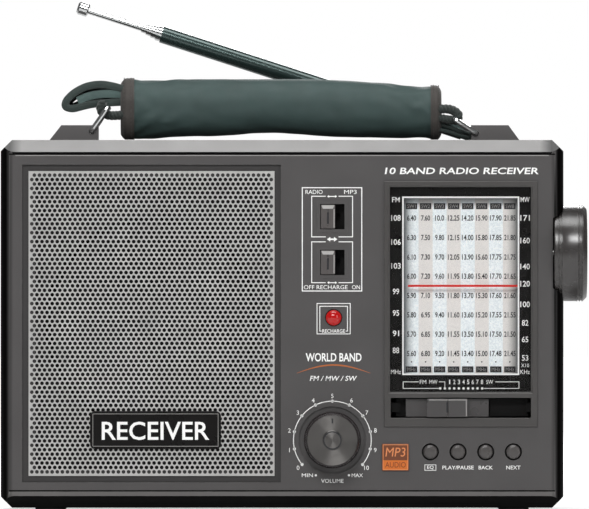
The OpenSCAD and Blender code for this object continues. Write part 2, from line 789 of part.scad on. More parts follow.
module slide_switches() placed() color([0.1, 0.1, 0.11])
    for (z = [upper_switch_z, lower_switch_z]) difference() {
        block([13, 34], [y_wall, y_wall + 9], [z - 7, z + 7]);
        block([window_x[0] - 0.3, window_x[1] + 0.3], [y_wall - 1, y_wall + 2.4],
            [z - switch_h / 2 - 0.2, z + switch_h / 2 + 0.2]);
        block([window_x[0] + 1.6, window_x[0] + switch_travel + 5.6], [y_wall, y_wall + 5.6],
            [z - 2, z + 2]);
    }

module charge_led() placed() color([0.85, 0.1, 0.08]) {
    rod_y(led_at, led_r - run, y_front - 0.6, y_wall + 4);
    translate([led_at[0], y_front - 0.6, led_at[1]]) intersection() {
        translate([0, 1.8, 0]) sphere(4);
        translate([0, -3, 0]) rotate([-90, 0, 0]) cylinder(r = led_r - run, h = 3);
    }
}

module mode_badge() placed() color([0.92, 0.45, 0.12])
    panel(y_front - 0.8, y_front) span(mode_badge_x, mode_badge_z);

// Knob with a skirt, a crowned rim and a sunken seat for its metal disc.
module volume_knob() placed() color([0.17, 0.16, 0.16]) {
    r = volume_d / 2;
    y0 = y_front + 0.6;
    y1 = volume_y;
    bore_end = y1 + 2.6;
    difference() {
        turned_y(volume_at, [[0, y0], [r, y0], [r, y0 - 1.2], [r - 0.3, y0 - 1.4],
            [r - 0.7, y1 + 1.2], [r - 1.6, y1], [11.7, y1 + 0.1],
            [11.7, y1 + 0.9], [0, y1 + 0.9]]);
        rod_y(volume_at, shaft_r, bore_end, y0 + 1);
    }
    rod_y(volume_at, shaft_r, bore_end, y_wall + 9);
}

module volume_knob_disc() placed() color([0.5, 0.49, 0.48]) {
    y1 = volume_y;
    difference() {
        turned_y(volume_at, [[0, y1 + 0.9], [11.65, y1 + 0.9], [11.65, y1 + 0.4],
            [4.6, y1 + 0.55], [4.2, y1 + 0.1], [0, y1]]);
        block([volume_at[0] - 0.4, volume_at[0] + 0.4], [y1 - 1, y1 + 0.7],
            [volume_at[1] + 7.8, volume_at[1] + 10.2]);
    }
}

module volume_control() placed() color([0.6, 0.6, 0.62])
    difference() {
        union() {
            rod_y(volume_at, 4.5, y_front + 1.2, y_wall + 0.5);
            rod_y(volume_at, 12, y_wall, y_wall + 9.6);
        }
        rod_y(volume_at, shaft_r + run, y_front, y_wall + 9.2);
    }

// Domed cap with a flange behind the wall and a stem down to its tact switch.
module push_button(index) {
    at = [button_x + index * button_pitch, button_z];
    r = button_d / 2;
    turned_y(at, [[0, y_front - 1.5], [r - 0.9, y_front - 1.3], [r, y_front - 0.5],
        [r, y_wall + gap], [r + 1.3, y_wall + gap], [r + 1.3, y_wall + gap + 1],
        [1.5, y_wall + gap + 1], [1.5, button_stem_y], [0, button_stem_y]]);
}

module eq_button() placed() color([0.22, 0.21, 0.21]) push_button(0);

module play_button() placed() color([0.22, 0.21, 0.21]) push_button(1);

module back_button() placed() color([0.22, 0.21, 0.21]) push_button(2);

module next_button() placed() color([0.22, 0.21, 0.21]) push_button(3);

// Circuit board with a tact switch behind each button.
module button_board() placed() color([0.1, 0.35, 0.2]) {
    tact_half = 3;
    tact_y = y_wall + 4.4;
    panel(button_board_y, button_board_y + board_t) span(button_board_x, button_board_z);
    for (i = [0:3]) {
        at = [button_x + i * button_pitch, button_z];
        block([at[0] - tact_half, at[0] + tact_half], [tact_y, button_board_y],
            [at[1] - tact_half, at[1] + tact_half]);
        rod_y(at, 1.6, button_stem_y + button_travel + gap, tact_y);
    }
}

// Electrics -----------------------------------------------------------------

// Board with its row of tuned transformers, three chips and three electrolytic capacitors.
module main_board() placed() color([0.1, 0.35, 0.2]) {
    coil_pitch = 15;
    coil_w = 7.5;
    chip_pitch = 22;
    can_r = 5;
    panel(main_y, main_y + board_t) span(main_x, main_z);
    for (i = [0:4])
        block([10 + i * coil_pitch, 10 + i * coil_pitch + coil_w], [main_y - 10, main_y],
            [62, 62 + coil_w]);
    for (i = [0:2]) {
        block([20 + i * chip_pitch, 36 + i * chip_pitch], [main_y - 3, main_y], [86, 94]);
        rod_y([16 + i * chip_pitch, 132], can_r, main_y - 13, main_y);
    }
}

module ferrite_antenna() placed() color([0.25, 0.25, 0.26]) {
    coil_x = [20, 44];
    rod_x(ferrite_at, ferrite_r, ferrite_x[0], ferrite_x[1]);
    difference() {
        rod_x(ferrite_at, ferrite_r + 2, coil_x[0], coil_x[1]);
        rod_x(ferrite_at, ferrite_r, coil_x[0] - 1, coil_x[1] + 1);
    }
}

// Small board on the left wall with a USB socket, a card slot and a headphone jack.
module media_board() placed() color([0.1, 0.33, 0.2]) {
    x0 = -x_side;
    y = media_y;
    block([x0 + wall + 0.5, -108], [y, y + board_t], media_z);
    difference() {
        block([x0 + 0.6, -115], [usb_at[0] - 3.5, y], [usb_at[1] - 7.2, usb_at[1] + 7.2]);
        block([x0, -118], [usb_at[0] - 2.6, usb_at[0] + 2.6], [usb_at[1] - 6.3, usb_at[1] + 6.3]);
    }
    block([x0 + 2, -117], [usb_at[0] - 0.3, usb_at[0] + 1.6], [usb_at[1] - 5.6, usb_at[1] + 5.6]);
    difference() {
        block([x0 + 0.6, -104], [card_slot_at[0] - 1.5, y],
            [card_slot_at[1] - 14, card_slot_at[1] + 14]);
        block([x0, -106], [card_slot_at[0] - 1.1, card_slot_at[0] + 1.1],
            [card_slot_at[1] - 12, card_slot_at[1] + 12]);
        block([x0, x0 + wall + 0.2], [0, y + 1],
            [card_slot_at[1] - 15, card_slot_at[1] - 12.2]);
        block([x0, x0 + wall + 0.2], [0, y + 1],
            [card_slot_at[1] + 12.2, card_slot_at[1] + 15]);
    }
    difference() {
        union() {
            rod_x(jack_at, 3, x0 - 0.4, x0 + 14);
            block([x0 + wall + 0.4, x0 + 14], [jack_at[0] - 3, y], [jack_at[1] - 3, jack_at[1] + 3]);
        }
        rod_x(jack_at, 1.8, x0 - 1, x0 + 13.6);
    }
}

// Two-pin mains socket in the left wall.
module power_inlet() placed() color([0.06, 0.06, 0.06]) {
    x0 = -x_side;
    collar = 2.4;
    socket_depth = 10;
    mid = (inlet_y[0] + inlet_y[1]) / 2;
    difference() {
        union() {
            block([x0 - 0.8, x0], grown(inlet_y, collar), grown(inlet_z, collar));
            block([x0, x0 + 14], grown(inlet_y, inlet_wall), grown(inlet_z, inlet_wall));
        }
        block([x0 - 2, x0 + socket_depth], inlet_y, inlet_z);
    }
    for (s = [-1, 1])
        rod_x([mid + s * inlet_pin_pitch / 2, inlet_at[1]], 1.2, x0 + 1, x0 + socket_depth);
}

// Laminated core with its winding.
module transformer() placed() color([0.4, 0.4, 0.42]) {
    core_y = [12, 36];
    block([-114, -82], core_y, [z_bottom + wall, 32]);
    block([-108, -88], [core_y[0] - 4, core_y[0]], [10, 27]);
}

module battery_cells() placed() color([0.75, 0.6, 0.15])
    for (i = [0:cell_count - 1]) {
        x = bay_x[0] + bay_wall + 6 + i * cell_l;
        at = [bay_y0 + bay_wall + 0.6 + cell_d / 2, z_bottom + wall + bay_wall + 0.4 + cell_d / 2];
        rod_x(at, cell_d / 2, x, x + cell_l - 1.6);
        rod_x(at, 4.5, x + cell_l - 1.6, x + cell_l - 0.2);
    }

// Spring at the minus end and flat plate at the plus end.
module battery_contacts() placed() color([0.8, 0.8, 0.78]) {
    y = bay_y0 + bay_wall + 0.6 + cell_d / 2;
    z = z_bottom + wall + bay_wall + 0.4 + cell_d / 2;
    x0 = bay_x[0] + bay_wall;
    turns = 4;
    steps = 12;
    block([x0, x0 + 0.5], [y - 9, y + 9], [z - 9, z + 9]);
    block([bay_x[1] - bay_wall - 0.5, bay_x[1] - bay_wall], [y - 9, y + 9], [z - 9, z + 9]);
    sweep([for (i = [0:turns * steps])
        let (r = 8 - 3.4 * i / (turns * steps), a = 360 * i / steps)
            [x0 + 1.1 + 4.2 * i / (turns * steps), y + r * cos(a), z + r * sin(a)]],
        0.4, [1, 0, 0]);
}

// Antenna -------------------------------------------------------------------

module antenna_base() placed() color([0.2, 0.2, 0.2])
    translate([antenna_at[0], antenna_at[1], 0]) rotate_extrude()
        polygon([[4 + run, z_rear_top - 6], [6, z_rear_top - 6], [6, z_rear_top],
            [7.5, z_rear_top], [7.5, z_rear_top + 0.5], [4 + run, z_rear_top + 0.5]]);

// Post, its retaining foot, and two ears joined by the tilt pin.
module antenna_swivel() placed() color([0.35, 0.36, 0.36])
    translate([antenna_at[0], antenna_at[1], 0]) {
        disc_z = [z_rear_top + 0.8, tilt_z - 3.9];
        translate([0, 0, z_rear_top - 9]) cylinder(r = 4, h = disc_z[0] + 9 - z_rear_top);
        translate([0, 0, z_rear_top - 9]) cylinder(r = 5.4, h = 2.4);
        translate([0, 0, disc_z[0]]) cylinder(r = 6.3, h = disc_z[1] - disc_z[0]);
        for (y = [-4.5, tongue_half + gap]) translate([0, y, 0]) {
            block([-4.5, 4.5], [0, 4.5 - tongue_half - gap], [disc_z[1], tilt_z]);
            rod_y([0, tilt_z], 4.5, 0, 4.5 - tongue_half - gap);
        }
        rod_y([0, tilt_z], tilt_r, -4.5, 4.5);
    }

// Moves a shape drawn along Z from the tilt pin onto the leaning antenna.
module along_antenna() {
    translate([antenna_at[0], antenna_at[1], tilt_z])
        rotate([0, antenna_lean - 90, 0]) children();
}

function section_r(i) = antenna_d / 2 - (i - 1) * (tube_wall + run);
function section_end(i) = antenna_l + (i - 1) * section_step;

module tube(r, z0, z1) {
    difference() {
        translate([0, 0, z0]) cylinder(r = r, h = z1 - z0);
        translate([0, 0, z0 - 1]) cylinder(r = r - tube_wall, h = z1 - z0 + 2);
    }
}

module antenna_tube() placed() color([0.2, 0.24, 0.23])
    along_antenna() difference() {
        union() {
            rod_y([0, 0], 3.6, -tongue_half, tongue_half);
            block([-3.4, 3.4], [-tongue_half, tongue_half], [0, 9]);
            translate([0, 0, 7.4]) cylinder(r = antenna_d / 2, h = 6.6);
            tube(antenna_d / 2, 14, antenna_l);
        }
        rod_y([0, 0], tilt_r + run, -5, 5);
    }

module section(i) {
    along_antenna() tube(section_r(i), 12 + 2 * i, section_end(i));
}

module antenna_section_2() placed() color([0.75, 0.75, 0.77]) section(2);

module antenna_section_3() placed() color([0.75, 0.75, 0.77]) section(3);

module antenna_section_4() placed() color([0.75, 0.75, 0.77]) section(4);

module antenna_section_5() placed() color([0.75, 0.75, 0.77]) section(5);

module antenna_rod() placed() color([0.8, 0.8, 0.82])
    along_antenna() {
        r = section_r(5) - tube_wall - run;
        translate([0, 0, 50]) cylinder(r = r, h = rod_l - 50);
        translate([0, 0, rod_l]) rotate_extrude()
            polygon([[0, 0], [tip_r - 0.6, 0], [tip_r, 0.6], [tip_r, tip_l - 1],
                [tip_r - 1, tip_l], [0, tip_l]]);
    }

// Handle --------------------------------------------------------------------

module boss(x_in, x_out, slope, hole) {
    y = [handle_y - 14, handle_y + 14];
    difference() {
        panel(y[0], y[1]) polygon([[x_in, z_top], [x_out, z_top],
            [x_out - slope, z_top + boss_h], [x_in, z_top + boss_h]]);
        rod_y(hole, link_r + 0.1, y[0] - 1, y[1] + 1);
    }
}

module handle_bosses() placed() color([0.35, 0.345, 0.345]) {
    boss(-86, -108.7, -5.6, left_pin);
    boss(88.4, 110.9, 5.2, right_pin);
}

// Wire bent to an oblong whose two ends meet inside the boss: up both sides and across.
module wire_link(pin, eye) {
    d = unit(eye - pin);
    far = norm(eye - pin) - link_bend;
    near = link_bend;
    side = link_half - link_bend;
    corners = [[near, side, -90], [far, side, 0], [far, -side, 90], [near, -side, 180]];
    flat = concat([[0, link_gap]],
        [for (c = corners, k = [0:link_steps]) let (a = c[2] + 90 * k / link_steps)
            [c[0] + link_bend * sin(a), c[1] + link_bend * cos(a)]],
        [[0, -link_gap]]);
    sweep([for (p = flat) [pin[0] + d[0] * p[0], handle_y + p[1], pin[1] + d[1] * p[0]]],
        link_r, [d[1], 0, -d[0]], 12);
}

module wire_links() placed() color([0.85, 0.85, 0.87]) {
    wire_link(left_pin, left_eye);
    wire_link(right_pin, right_eye);
}

// Webbing loop over the left link, and the webbing and rope at the right end.
module handle_ropes() placed() color([0.22, 0.27, 0.26]) {
    end = sleeve_x[0] - 4 * gap;
    start = sleeve_x[1] + 4 * gap;
    z = z_top;
    panel(handle_y - strap_w / 2, handle_y + strap_w / 2) {
        strip([[end, z + 23], [-82, z + 25.4], [-90, z + 24.6], [-96, z + 20.6],
            [-99.6, z + 16.4], [-98.4, z + 14.6], [-92, z + 15.8], [-84, z + 18.6],
            [end, z + 18.8]], 1.7);
        strip([[end, z + 12.2], [-78, z + 11.8], [-83, z + 12], [-84.6, z + 14]], 0.9);
    }
    panel(handle_y - strap_w / 2, handle_y + strap_w / 2) {
        strip([[start, z + 13.4], [79, z + 14.4], [83, z + 13]], 1.6);
        strip([[start, z + 5.6], [80, z + 4.6], [87, z + 2.9]], 1.6);
    }
}

// Sleeve body between its trims: an oval that narrows to the right.
module oval(x, height) {
    translate([x, handle_y, z_top + sleeve_lift + height / 2]) rotate([0, 90, 0])
        scale([height / sleeve_d, 1, 1]) cylinder(d = sleeve_d, h = 0.1, $fn = 32);
}

function sleeve_height(x) = sleeve_left_h
    + (sleeve_right_h - sleeve_left_h) * (x - sleeve_x[0]) / (sleeve_x[1] - sleeve_x[0]);

module oval_span(x0, x1) {
    hull() {
        oval(x0, sleeve_height(x0));
        oval(x1 - 0.1, sleeve_height(x1));
    }
}

module handle_sleeve() placed() color([0.28, 0.35, 0.34])
    oval_span(sleeve_x[0] + trim_w[0], sleeve_x[1] - trim_w[1]);

module handle_trims() placed() color([0.31, 0.3, 0.28]) {
    oval_span(sleeve_x[0], sleeve_x[0] + trim_w[0]);
    oval_span(sleeve_x[1] - trim_w[1], sleeve_x[1]);
}

front_cabinet();
rear_cabinet();
battery_door();
feet();
cabinet_screws();
speaker_grille();
grille_badge();
speaker_baffle();
speaker_basket();
speaker_cone();
speaker_magnet();
dial_frame();
dial_lens();
dial_scale();
dial_chassis();
dial_pointer();
tuning_knob();
tuning_shaft();
tuning_bush();
dial_cord();
upper_pulley();
lower_pulley();
cord_drum();
tuning_capacitor();
band_slider();
band_switch();
function_switch_cap();
recharge_switch_cap();
slide_switches();
charge_led();
mode_badge();
volume_knob();
volume_knob_disc();
volume_control();
eq_button();
play_button();
back_button();
next_button();
button_board();
main_board();
ferrite_antenna();
media_board();
power_inlet();
transformer();
battery_cells();
battery_contacts();
antenna_base();
antenna_swivel();
antenna_tube();
antenna_section_2();
antenna_section_3();
antenna_section_4();
antenna_section_5();
antenna_rod();
handle_bosses();
wire_links();
handle_ropes();
handle_sleeve();
handle_trims();
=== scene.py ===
"""Portable multiband receiver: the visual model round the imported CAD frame.

Lengths in the frame are metres, Z up, front towards -Y. Places on the case are written in
millimetres from its middle, as at(x, y, z), with the front face at y = FACE.
"""

import json
import math

import bmesh
import bpy
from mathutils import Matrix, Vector, noise

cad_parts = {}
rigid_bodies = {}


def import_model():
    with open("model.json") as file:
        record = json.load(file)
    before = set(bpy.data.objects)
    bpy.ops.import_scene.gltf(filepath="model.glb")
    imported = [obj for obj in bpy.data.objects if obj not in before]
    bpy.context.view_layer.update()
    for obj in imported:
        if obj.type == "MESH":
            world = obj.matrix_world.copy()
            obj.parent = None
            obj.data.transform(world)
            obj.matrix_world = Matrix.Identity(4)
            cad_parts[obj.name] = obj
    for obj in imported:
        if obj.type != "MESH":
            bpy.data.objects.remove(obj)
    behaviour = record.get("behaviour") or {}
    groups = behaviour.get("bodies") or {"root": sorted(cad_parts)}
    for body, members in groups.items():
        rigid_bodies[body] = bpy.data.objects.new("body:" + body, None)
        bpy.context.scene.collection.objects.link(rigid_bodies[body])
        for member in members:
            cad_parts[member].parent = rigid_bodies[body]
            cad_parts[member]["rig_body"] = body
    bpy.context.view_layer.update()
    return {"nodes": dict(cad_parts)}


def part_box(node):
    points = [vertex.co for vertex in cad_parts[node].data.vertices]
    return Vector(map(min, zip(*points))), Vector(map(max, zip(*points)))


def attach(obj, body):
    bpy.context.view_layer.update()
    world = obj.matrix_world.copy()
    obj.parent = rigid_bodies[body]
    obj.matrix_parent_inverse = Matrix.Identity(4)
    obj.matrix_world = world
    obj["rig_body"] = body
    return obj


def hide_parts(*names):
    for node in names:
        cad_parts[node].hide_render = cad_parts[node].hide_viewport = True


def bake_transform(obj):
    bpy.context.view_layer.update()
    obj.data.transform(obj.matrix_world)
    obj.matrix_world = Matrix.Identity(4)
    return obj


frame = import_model()
scene = bpy.context.scene
nodes = frame["nodes"]

MM = 0.001
FACE = -44.0            # the front face's y
INK = 0.05              # how proud printing stands
case_low, case_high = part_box("front_cabinet")
CASE_X = (case_low.x + case_high.x) / 2
CASE_Y = case_low.y - FACE * MM


def at(x, y, z):
    """A point of the case, in millimetres from its middle, in the row frame."""
    return Vector((CASE_X + x * MM, CASE_Y + y * MM, z * MM))


def node_mm(node):
    """A CAD node's lowest and highest corner in case millimetres."""
    low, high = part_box(node)
    base = Vector((CASE_X, CASE_Y, 0))
    return (low - base) / MM, (high - base) / MM


# ------------------------------------------------------------------ camera, lights, stage

IMAGE_WIDTH = 589
PIXELS_PER_MM = 2.15
VIEW_CENTRE = (5.8, 119.9)      # the picture's middle on the front face, x and z
VIEW_DISTANCE = 6.0
SENSOR = 36.0


def make_camera():
    data = bpy.data.cameras.new("camera")
    data.type = "PERSP"
    data.sensor_width = SENSOR
    seen_width = IMAGE_WIDTH / PIXELS_PER_MM * MM
    data.lens = SENSOR * VIEW_DISTANCE / seen_width
    data.clip_start, data.clip_end = 0.05, 60
    camera = bpy.data.objects.new("camera", data)
    scene.collection.objects.link(camera)
    camera.location = at(VIEW_CENTRE[0], FACE, VIEW_CENTRE[1]) - Vector((0, VIEW_DISTANCE, 0))
    camera.rotation_euler = (math.pi / 2, 0, 0)
    scene.camera = camera


def area_light(name, place, target, size, power, colour=(1, 1, 1)):
    data = bpy.data.lights.new(name, "AREA")
    data.shape = "RECTANGLE"
    data.size, data.size_y = size
    data.energy = power
    data.color = colour
    light = bpy.data.objects.new(name, data)
    scene.collection.objects.link(light)
    light.location = place
    light.rotation_euler = (Vector(target) - Vector(place)).to_track_quat("-Z", "Y").to_euler()
    light.visible_camera = False


def make_light():
    world = bpy.data.worlds.new("studio")
    scene.world = world
    world.use_nodes = True
    tree = world.node_tree
    tree.nodes.clear()
    out = tree.nodes.new("ShaderNodeOutputWorld")
    mixed = tree.nodes.new("ShaderNodeMixShader")
    path = tree.nodes.new("ShaderNodeLightPath")
    tree.links.new(path.outputs["Is Camera Ray"], mixed.inputs[0])
    for socket, strength in ((mixed.inputs[1], 0.15), (mixed.inputs[2], 1.0)):      # given, then seen
        sky = tree.nodes.new("ShaderNodeBackground")
        sky.inputs["Color"].default_value = (1, 1, 1, 1)
        sky.inputs["Strength"].default_value = strength
        tree.links.new(sky.outputs[0], socket)
    tree.links.new(mixed.outputs[0], out.inputs[0])
    middle = (0, 0, 0.1)
    area_light("overhead", (0, -0.15, 1.2), middle, (0.9, 0.5), 7)
    area_light("front_high", (-0.3, -1.7, 1.35), middle, (1.1, 0.5), 23)
    area_light("front_right", (1.5, -1.3, 0.6), middle, (0.5, 1.0), 5)
    area_light("back_fill", (0.4, 2.2, 1.2), middle, (1.0, 0.6), 16)
    scene.view_settings.view_transform = "Standard"


make_camera()
make_light()


# ------------------------------------------------------------------------------ materials


def rgb(r, g, b):
    """A screen colour from 0 to 255 as a linear shader colour."""
    def linear(c):
        c /= 255
        return c / 12.92 if c <= 0.04045 else ((c + 0.055) / 1.055) ** 2.4
    return (linear(r), linear(g), linear(b), 1.0)


class Shader:
    """A Principled material built from noise: mottled colour, uneven roughness, fine bump."""

    def __init__(self, name, colour, rough, metal=0.0):
        self.material = bpy.data.materials.new(name)
        self.material.use_nodes = True
        self.tree = self.material.node_tree
        self.principled = self.tree.nodes["Principled BSDF"]
        self.out = self.tree.nodes["Material Output"]
        self.place = self.node("ShaderNodeTexCoord").outputs["Object"]
        self.colour = colour
        self.rough = rough
        self.put("Base Color", colour)
        self.put("Roughness", rough)
        self.put("Metallic", metal)
        self.colour_from = None
        self.normal_from = None

    def node(self, kind, **settings):
        n = self.tree.nodes.new(kind)
        for key, value in settings.items():
            setattr(n, key, value)
        return n

    def link(self, a, b):
        self.tree.links.new(a, b)

    def put(self, socket, value):
        self.principled.inputs[socket].default_value = value
        return self

    def maths(self, operation, a, b=0.0):
        """The result of a sum; a and b are outputs or numbers."""
        n = self.node("ShaderNodeMath", operation=operation)
        for socket, value in zip(n.inputs, (a, b)):
            if isinstance(value, float):
                socket.default_value = value
            else:
                self.link(value, socket)
        return n.outputs[0]

    def split(self, vector):
        """A vector's X, Y and Z outputs, by name."""
        n = self.node("ShaderNodeSeparateXYZ")
        self.link(vector, n.inputs[0])
        return n.outputs

    def noise(self, size_mm, detail=2.0, stretch=(1, 1, 1)):
        """Noise whose features are about size_mm across, longer along an axis by stretch."""
        source = self.place
        if stretch != (1, 1, 1):
            mapping = self.node("ShaderNodeMapping")
            mapping.inputs["Scale"].default_value = [1 / s for s in stretch]
            self.link(source, mapping.inputs[0])
            source = mapping.outputs[0]
        n = self.node("ShaderNodeTexNoise")
        n.inputs["Scale"].default_value = 1 / (size_mm * MM)
        n.inputs["Detail"].default_value = detail
        self.link(source, n.inputs["Vector"])
        return n.outputs["Fac"]

    def spread(self, value, low, high, from_low=0.3, from_high=0.7):
        n = self.node("ShaderNodeMapRange")
        n.inputs["From Min"].default_value = from_low
        n.inputs["From Max"].default_value = from_high
        n.inputs["To Min"].default_value = low
        n.inputs["To Max"].default_value = high
        self.link(value, n.inputs["Value"])
        return n.outputs[0]

    def mixed(self, factor, first, second):
        """Colour from first to second by factor; each is a colour or an output."""
        n = self.node("ShaderNodeMix", data_type="RGBA")
        self.link(factor, n.inputs[0])
        for socket, value in ((n.inputs[6], first), (n.inputs[7], second)):
            if isinstance(value, tuple):
                socket.default_value = value
            else:
                self.link(value, socket)
        return n.outputs[2]

    def tint(self, factor, colour):
        """Lays colour over what the base colour is so far."""
        base = self.colour_from if self.colour_from is not None else self.colour
        self.colour_from = self.mixed(factor, base, colour)
        self.link(self.colour_from, self.principled.inputs["Base Color"])
        return self

    def mottle(self, size_mm=18, amount=0.1, detail=3.0, stretch=(1, 1, 1)):
        dark = tuple(c * (1 - amount) for c in self.colour[:3]) + (1.0,)
        light = tuple(min(1, c * (1 + amount)) for c in self.colour[:3]) + (1.0,)
        factor = self.spread(self.noise(size_mm, detail, stretch), 0, 1)
        self.colour_from = self.mixed(factor, dark, light)
        self.link(self.colour_from, self.principled.inputs["Base Color"])
        return self

    def uneven(self, size_mm=9, amount=0.06, stretch=(1, 1, 1)):
        value = self.spread(self.noise(size_mm, 3.0, stretch), self.rough - amount, self.rough + amount)
        self.link(value, self.principled.inputs["Roughness"])
        return self

    def bump(self, height, depth_mm, strength=1.0):
        n = self.node("ShaderNodeBump")
        n.inputs["Strength"].default_value = strength
        n.inputs["Distance"].default_value = depth_mm * MM
        self.link(height, n.inputs["Height"])
        if self.normal_from is not None:
            self.link(self.normal_from, n.inputs["Normal"])
        self.normal_from = n.outputs[0]
        self.link(self.normal_from, self.principled.inputs["Normal"])
        return self

    def grain(self, size_mm=0.35, depth_mm=0.012, detail=2.0, stretch=(1, 1, 1)):
        return self.bump(self.noise(size_mm, detail, stretch), depth_mm)

    def worn_edges(self, colour, width_mm=0.35, amount=0.6):
        """Edges rubbed to another colour, in patches."""
        rounded = self.node("ShaderNodeBevel", samples=4)
        rounded.inputs["Radius"].default_value = width_mm * MM
        true = self.node("ShaderNodeNewGeometry")
        dot = self.node("ShaderNodeVectorMath", operation="DOT_PRODUCT")
        self.link(rounded.outputs[0], dot.inputs[0])
        self.link(true.outputs["Normal"], dot.inputs[1])
        edge = self.spread(dot.outputs["Value"], 1.0, 0.0, 0.86, 0.995)
        patches = self.spread(self.noise(4, 4.0), 0.0, amount, 0.42, 0.62)
        return self.tint(self.maths("MULTIPLY", edge, patches), colour)


FLOOR_HALF, FLOOR_CELLS = 9.0, 24


def make_stage():
    """A pale floor, lit from within towards its edges so that it ends in white."""
    count = FLOOR_CELLS + 1
    marks = [-FLOOR_HALF + i * 2 * FLOOR_HALF / FLOOR_CELLS for i in range(count)]
    verts = [(x, y, 0) for y in marks for x in marks]
    faces = []
    for j in range(FLOOR_CELLS):
        for i in range(FLOOR_CELLS):
            a = j * count + i
            faces.append((a, a + 1, a + 1 + count, a + count))
    mesh = bpy.data.meshes.new("floor")
    mesh.from_pydata(verts, [], faces)
    floor = bpy.data.objects.new("floor", mesh)
    scene.collection.objects.link(floor)
    paint = Shader("pale_floor", (0.86, 0.86, 0.86, 1), 0.8).put("Emission Color", (1, 1, 1, 1))
    path = paint.node("ShaderNodeLightPath")
    far = paint.node("ShaderNodeVectorMath", operation="LENGTH")
    paint.link(paint.place, far.inputs[0])
    glow = paint.spread(far.outputs["Value"], 0.4, 0.95, 0.2, 1.0)
    seen = paint.spread(path.outputs["Is Camera Ray"], 0.05, 1.0, 0.0, 1.0)
    paint.link(paint.maths("MULTIPLY", glow, seen), paint.principled.inputs["Emission Strength"])
    mesh.materials.append(paint.material)


make_stage()

EDGE_DEPTH, EDGE_FADE = 7.0, 6.0        # how far behind the face the painted shade starts and fades
EDGE_SHINE = (0.45, 0.04)               # specular level on the flat and where it curves away, lowered there as painted shade


def round_off(shader, dark, start, end):
    """Paints shade on the upright rounded edges of the front, which curve away to the sides: darker colour
    and less specular as they turn.
    """
    true = shader.node("ShaderNodeNewGeometry")
    turned = shader.maths("ABSOLUTE", shader.split(true.outputs["Normal"])["X"])
    near = at(0, FACE + EDGE_DEPTH, 0).y
    ahead = shader.spread(shader.split(shader.place)["Y"], 1.0, 0.0, near, near + EDGE_FADE * MM)
    shade = shader.maths("MULTIPLY", shader.spread(turned, 0.0, 1.0, start, end), ahead)
    shine = shader.spread(shade, *EDGE_SHINE, 0.0, 1.0)
    shader.link(shine, shader.principled.inputs["Specular IOR Level"])
    return shader.tint(shade, dark)


def shade_ends(shader, dark, middle_x, start, end):
    """Paints shade on a band towards both its ends, start to end millimetres from middle_x."""
    away = shader.maths("SUBTRACT", shader.split(shader.place)["X"], at(middle_x, 0, 0).x)
    far = shader.spread(shader.maths("ABSOLUTE", away), 0.0, 1.0, start * MM, end * MM)
    return shader.tint(far, dark)


def moulded(name, colour, rough=0.42, grain=0.35, depth=0.014, worn=None):
    s = Shader(name, colour, rough).mottle(30, 0.05).uneven(11, 0.05).grain(grain, depth)
    if worn:
        s.worn_edges(worn)
    return s


def metal(name, colour, rough, stretch=(1, 1, 1), depth=0.004, size=0.5):
    s = Shader(name, colour, rough, 1.0).mottle(8, 0.07, 3.0, stretch).uneven(5, 0.06, stretch)
    return s.grain(size, depth, 2.0, stretch)


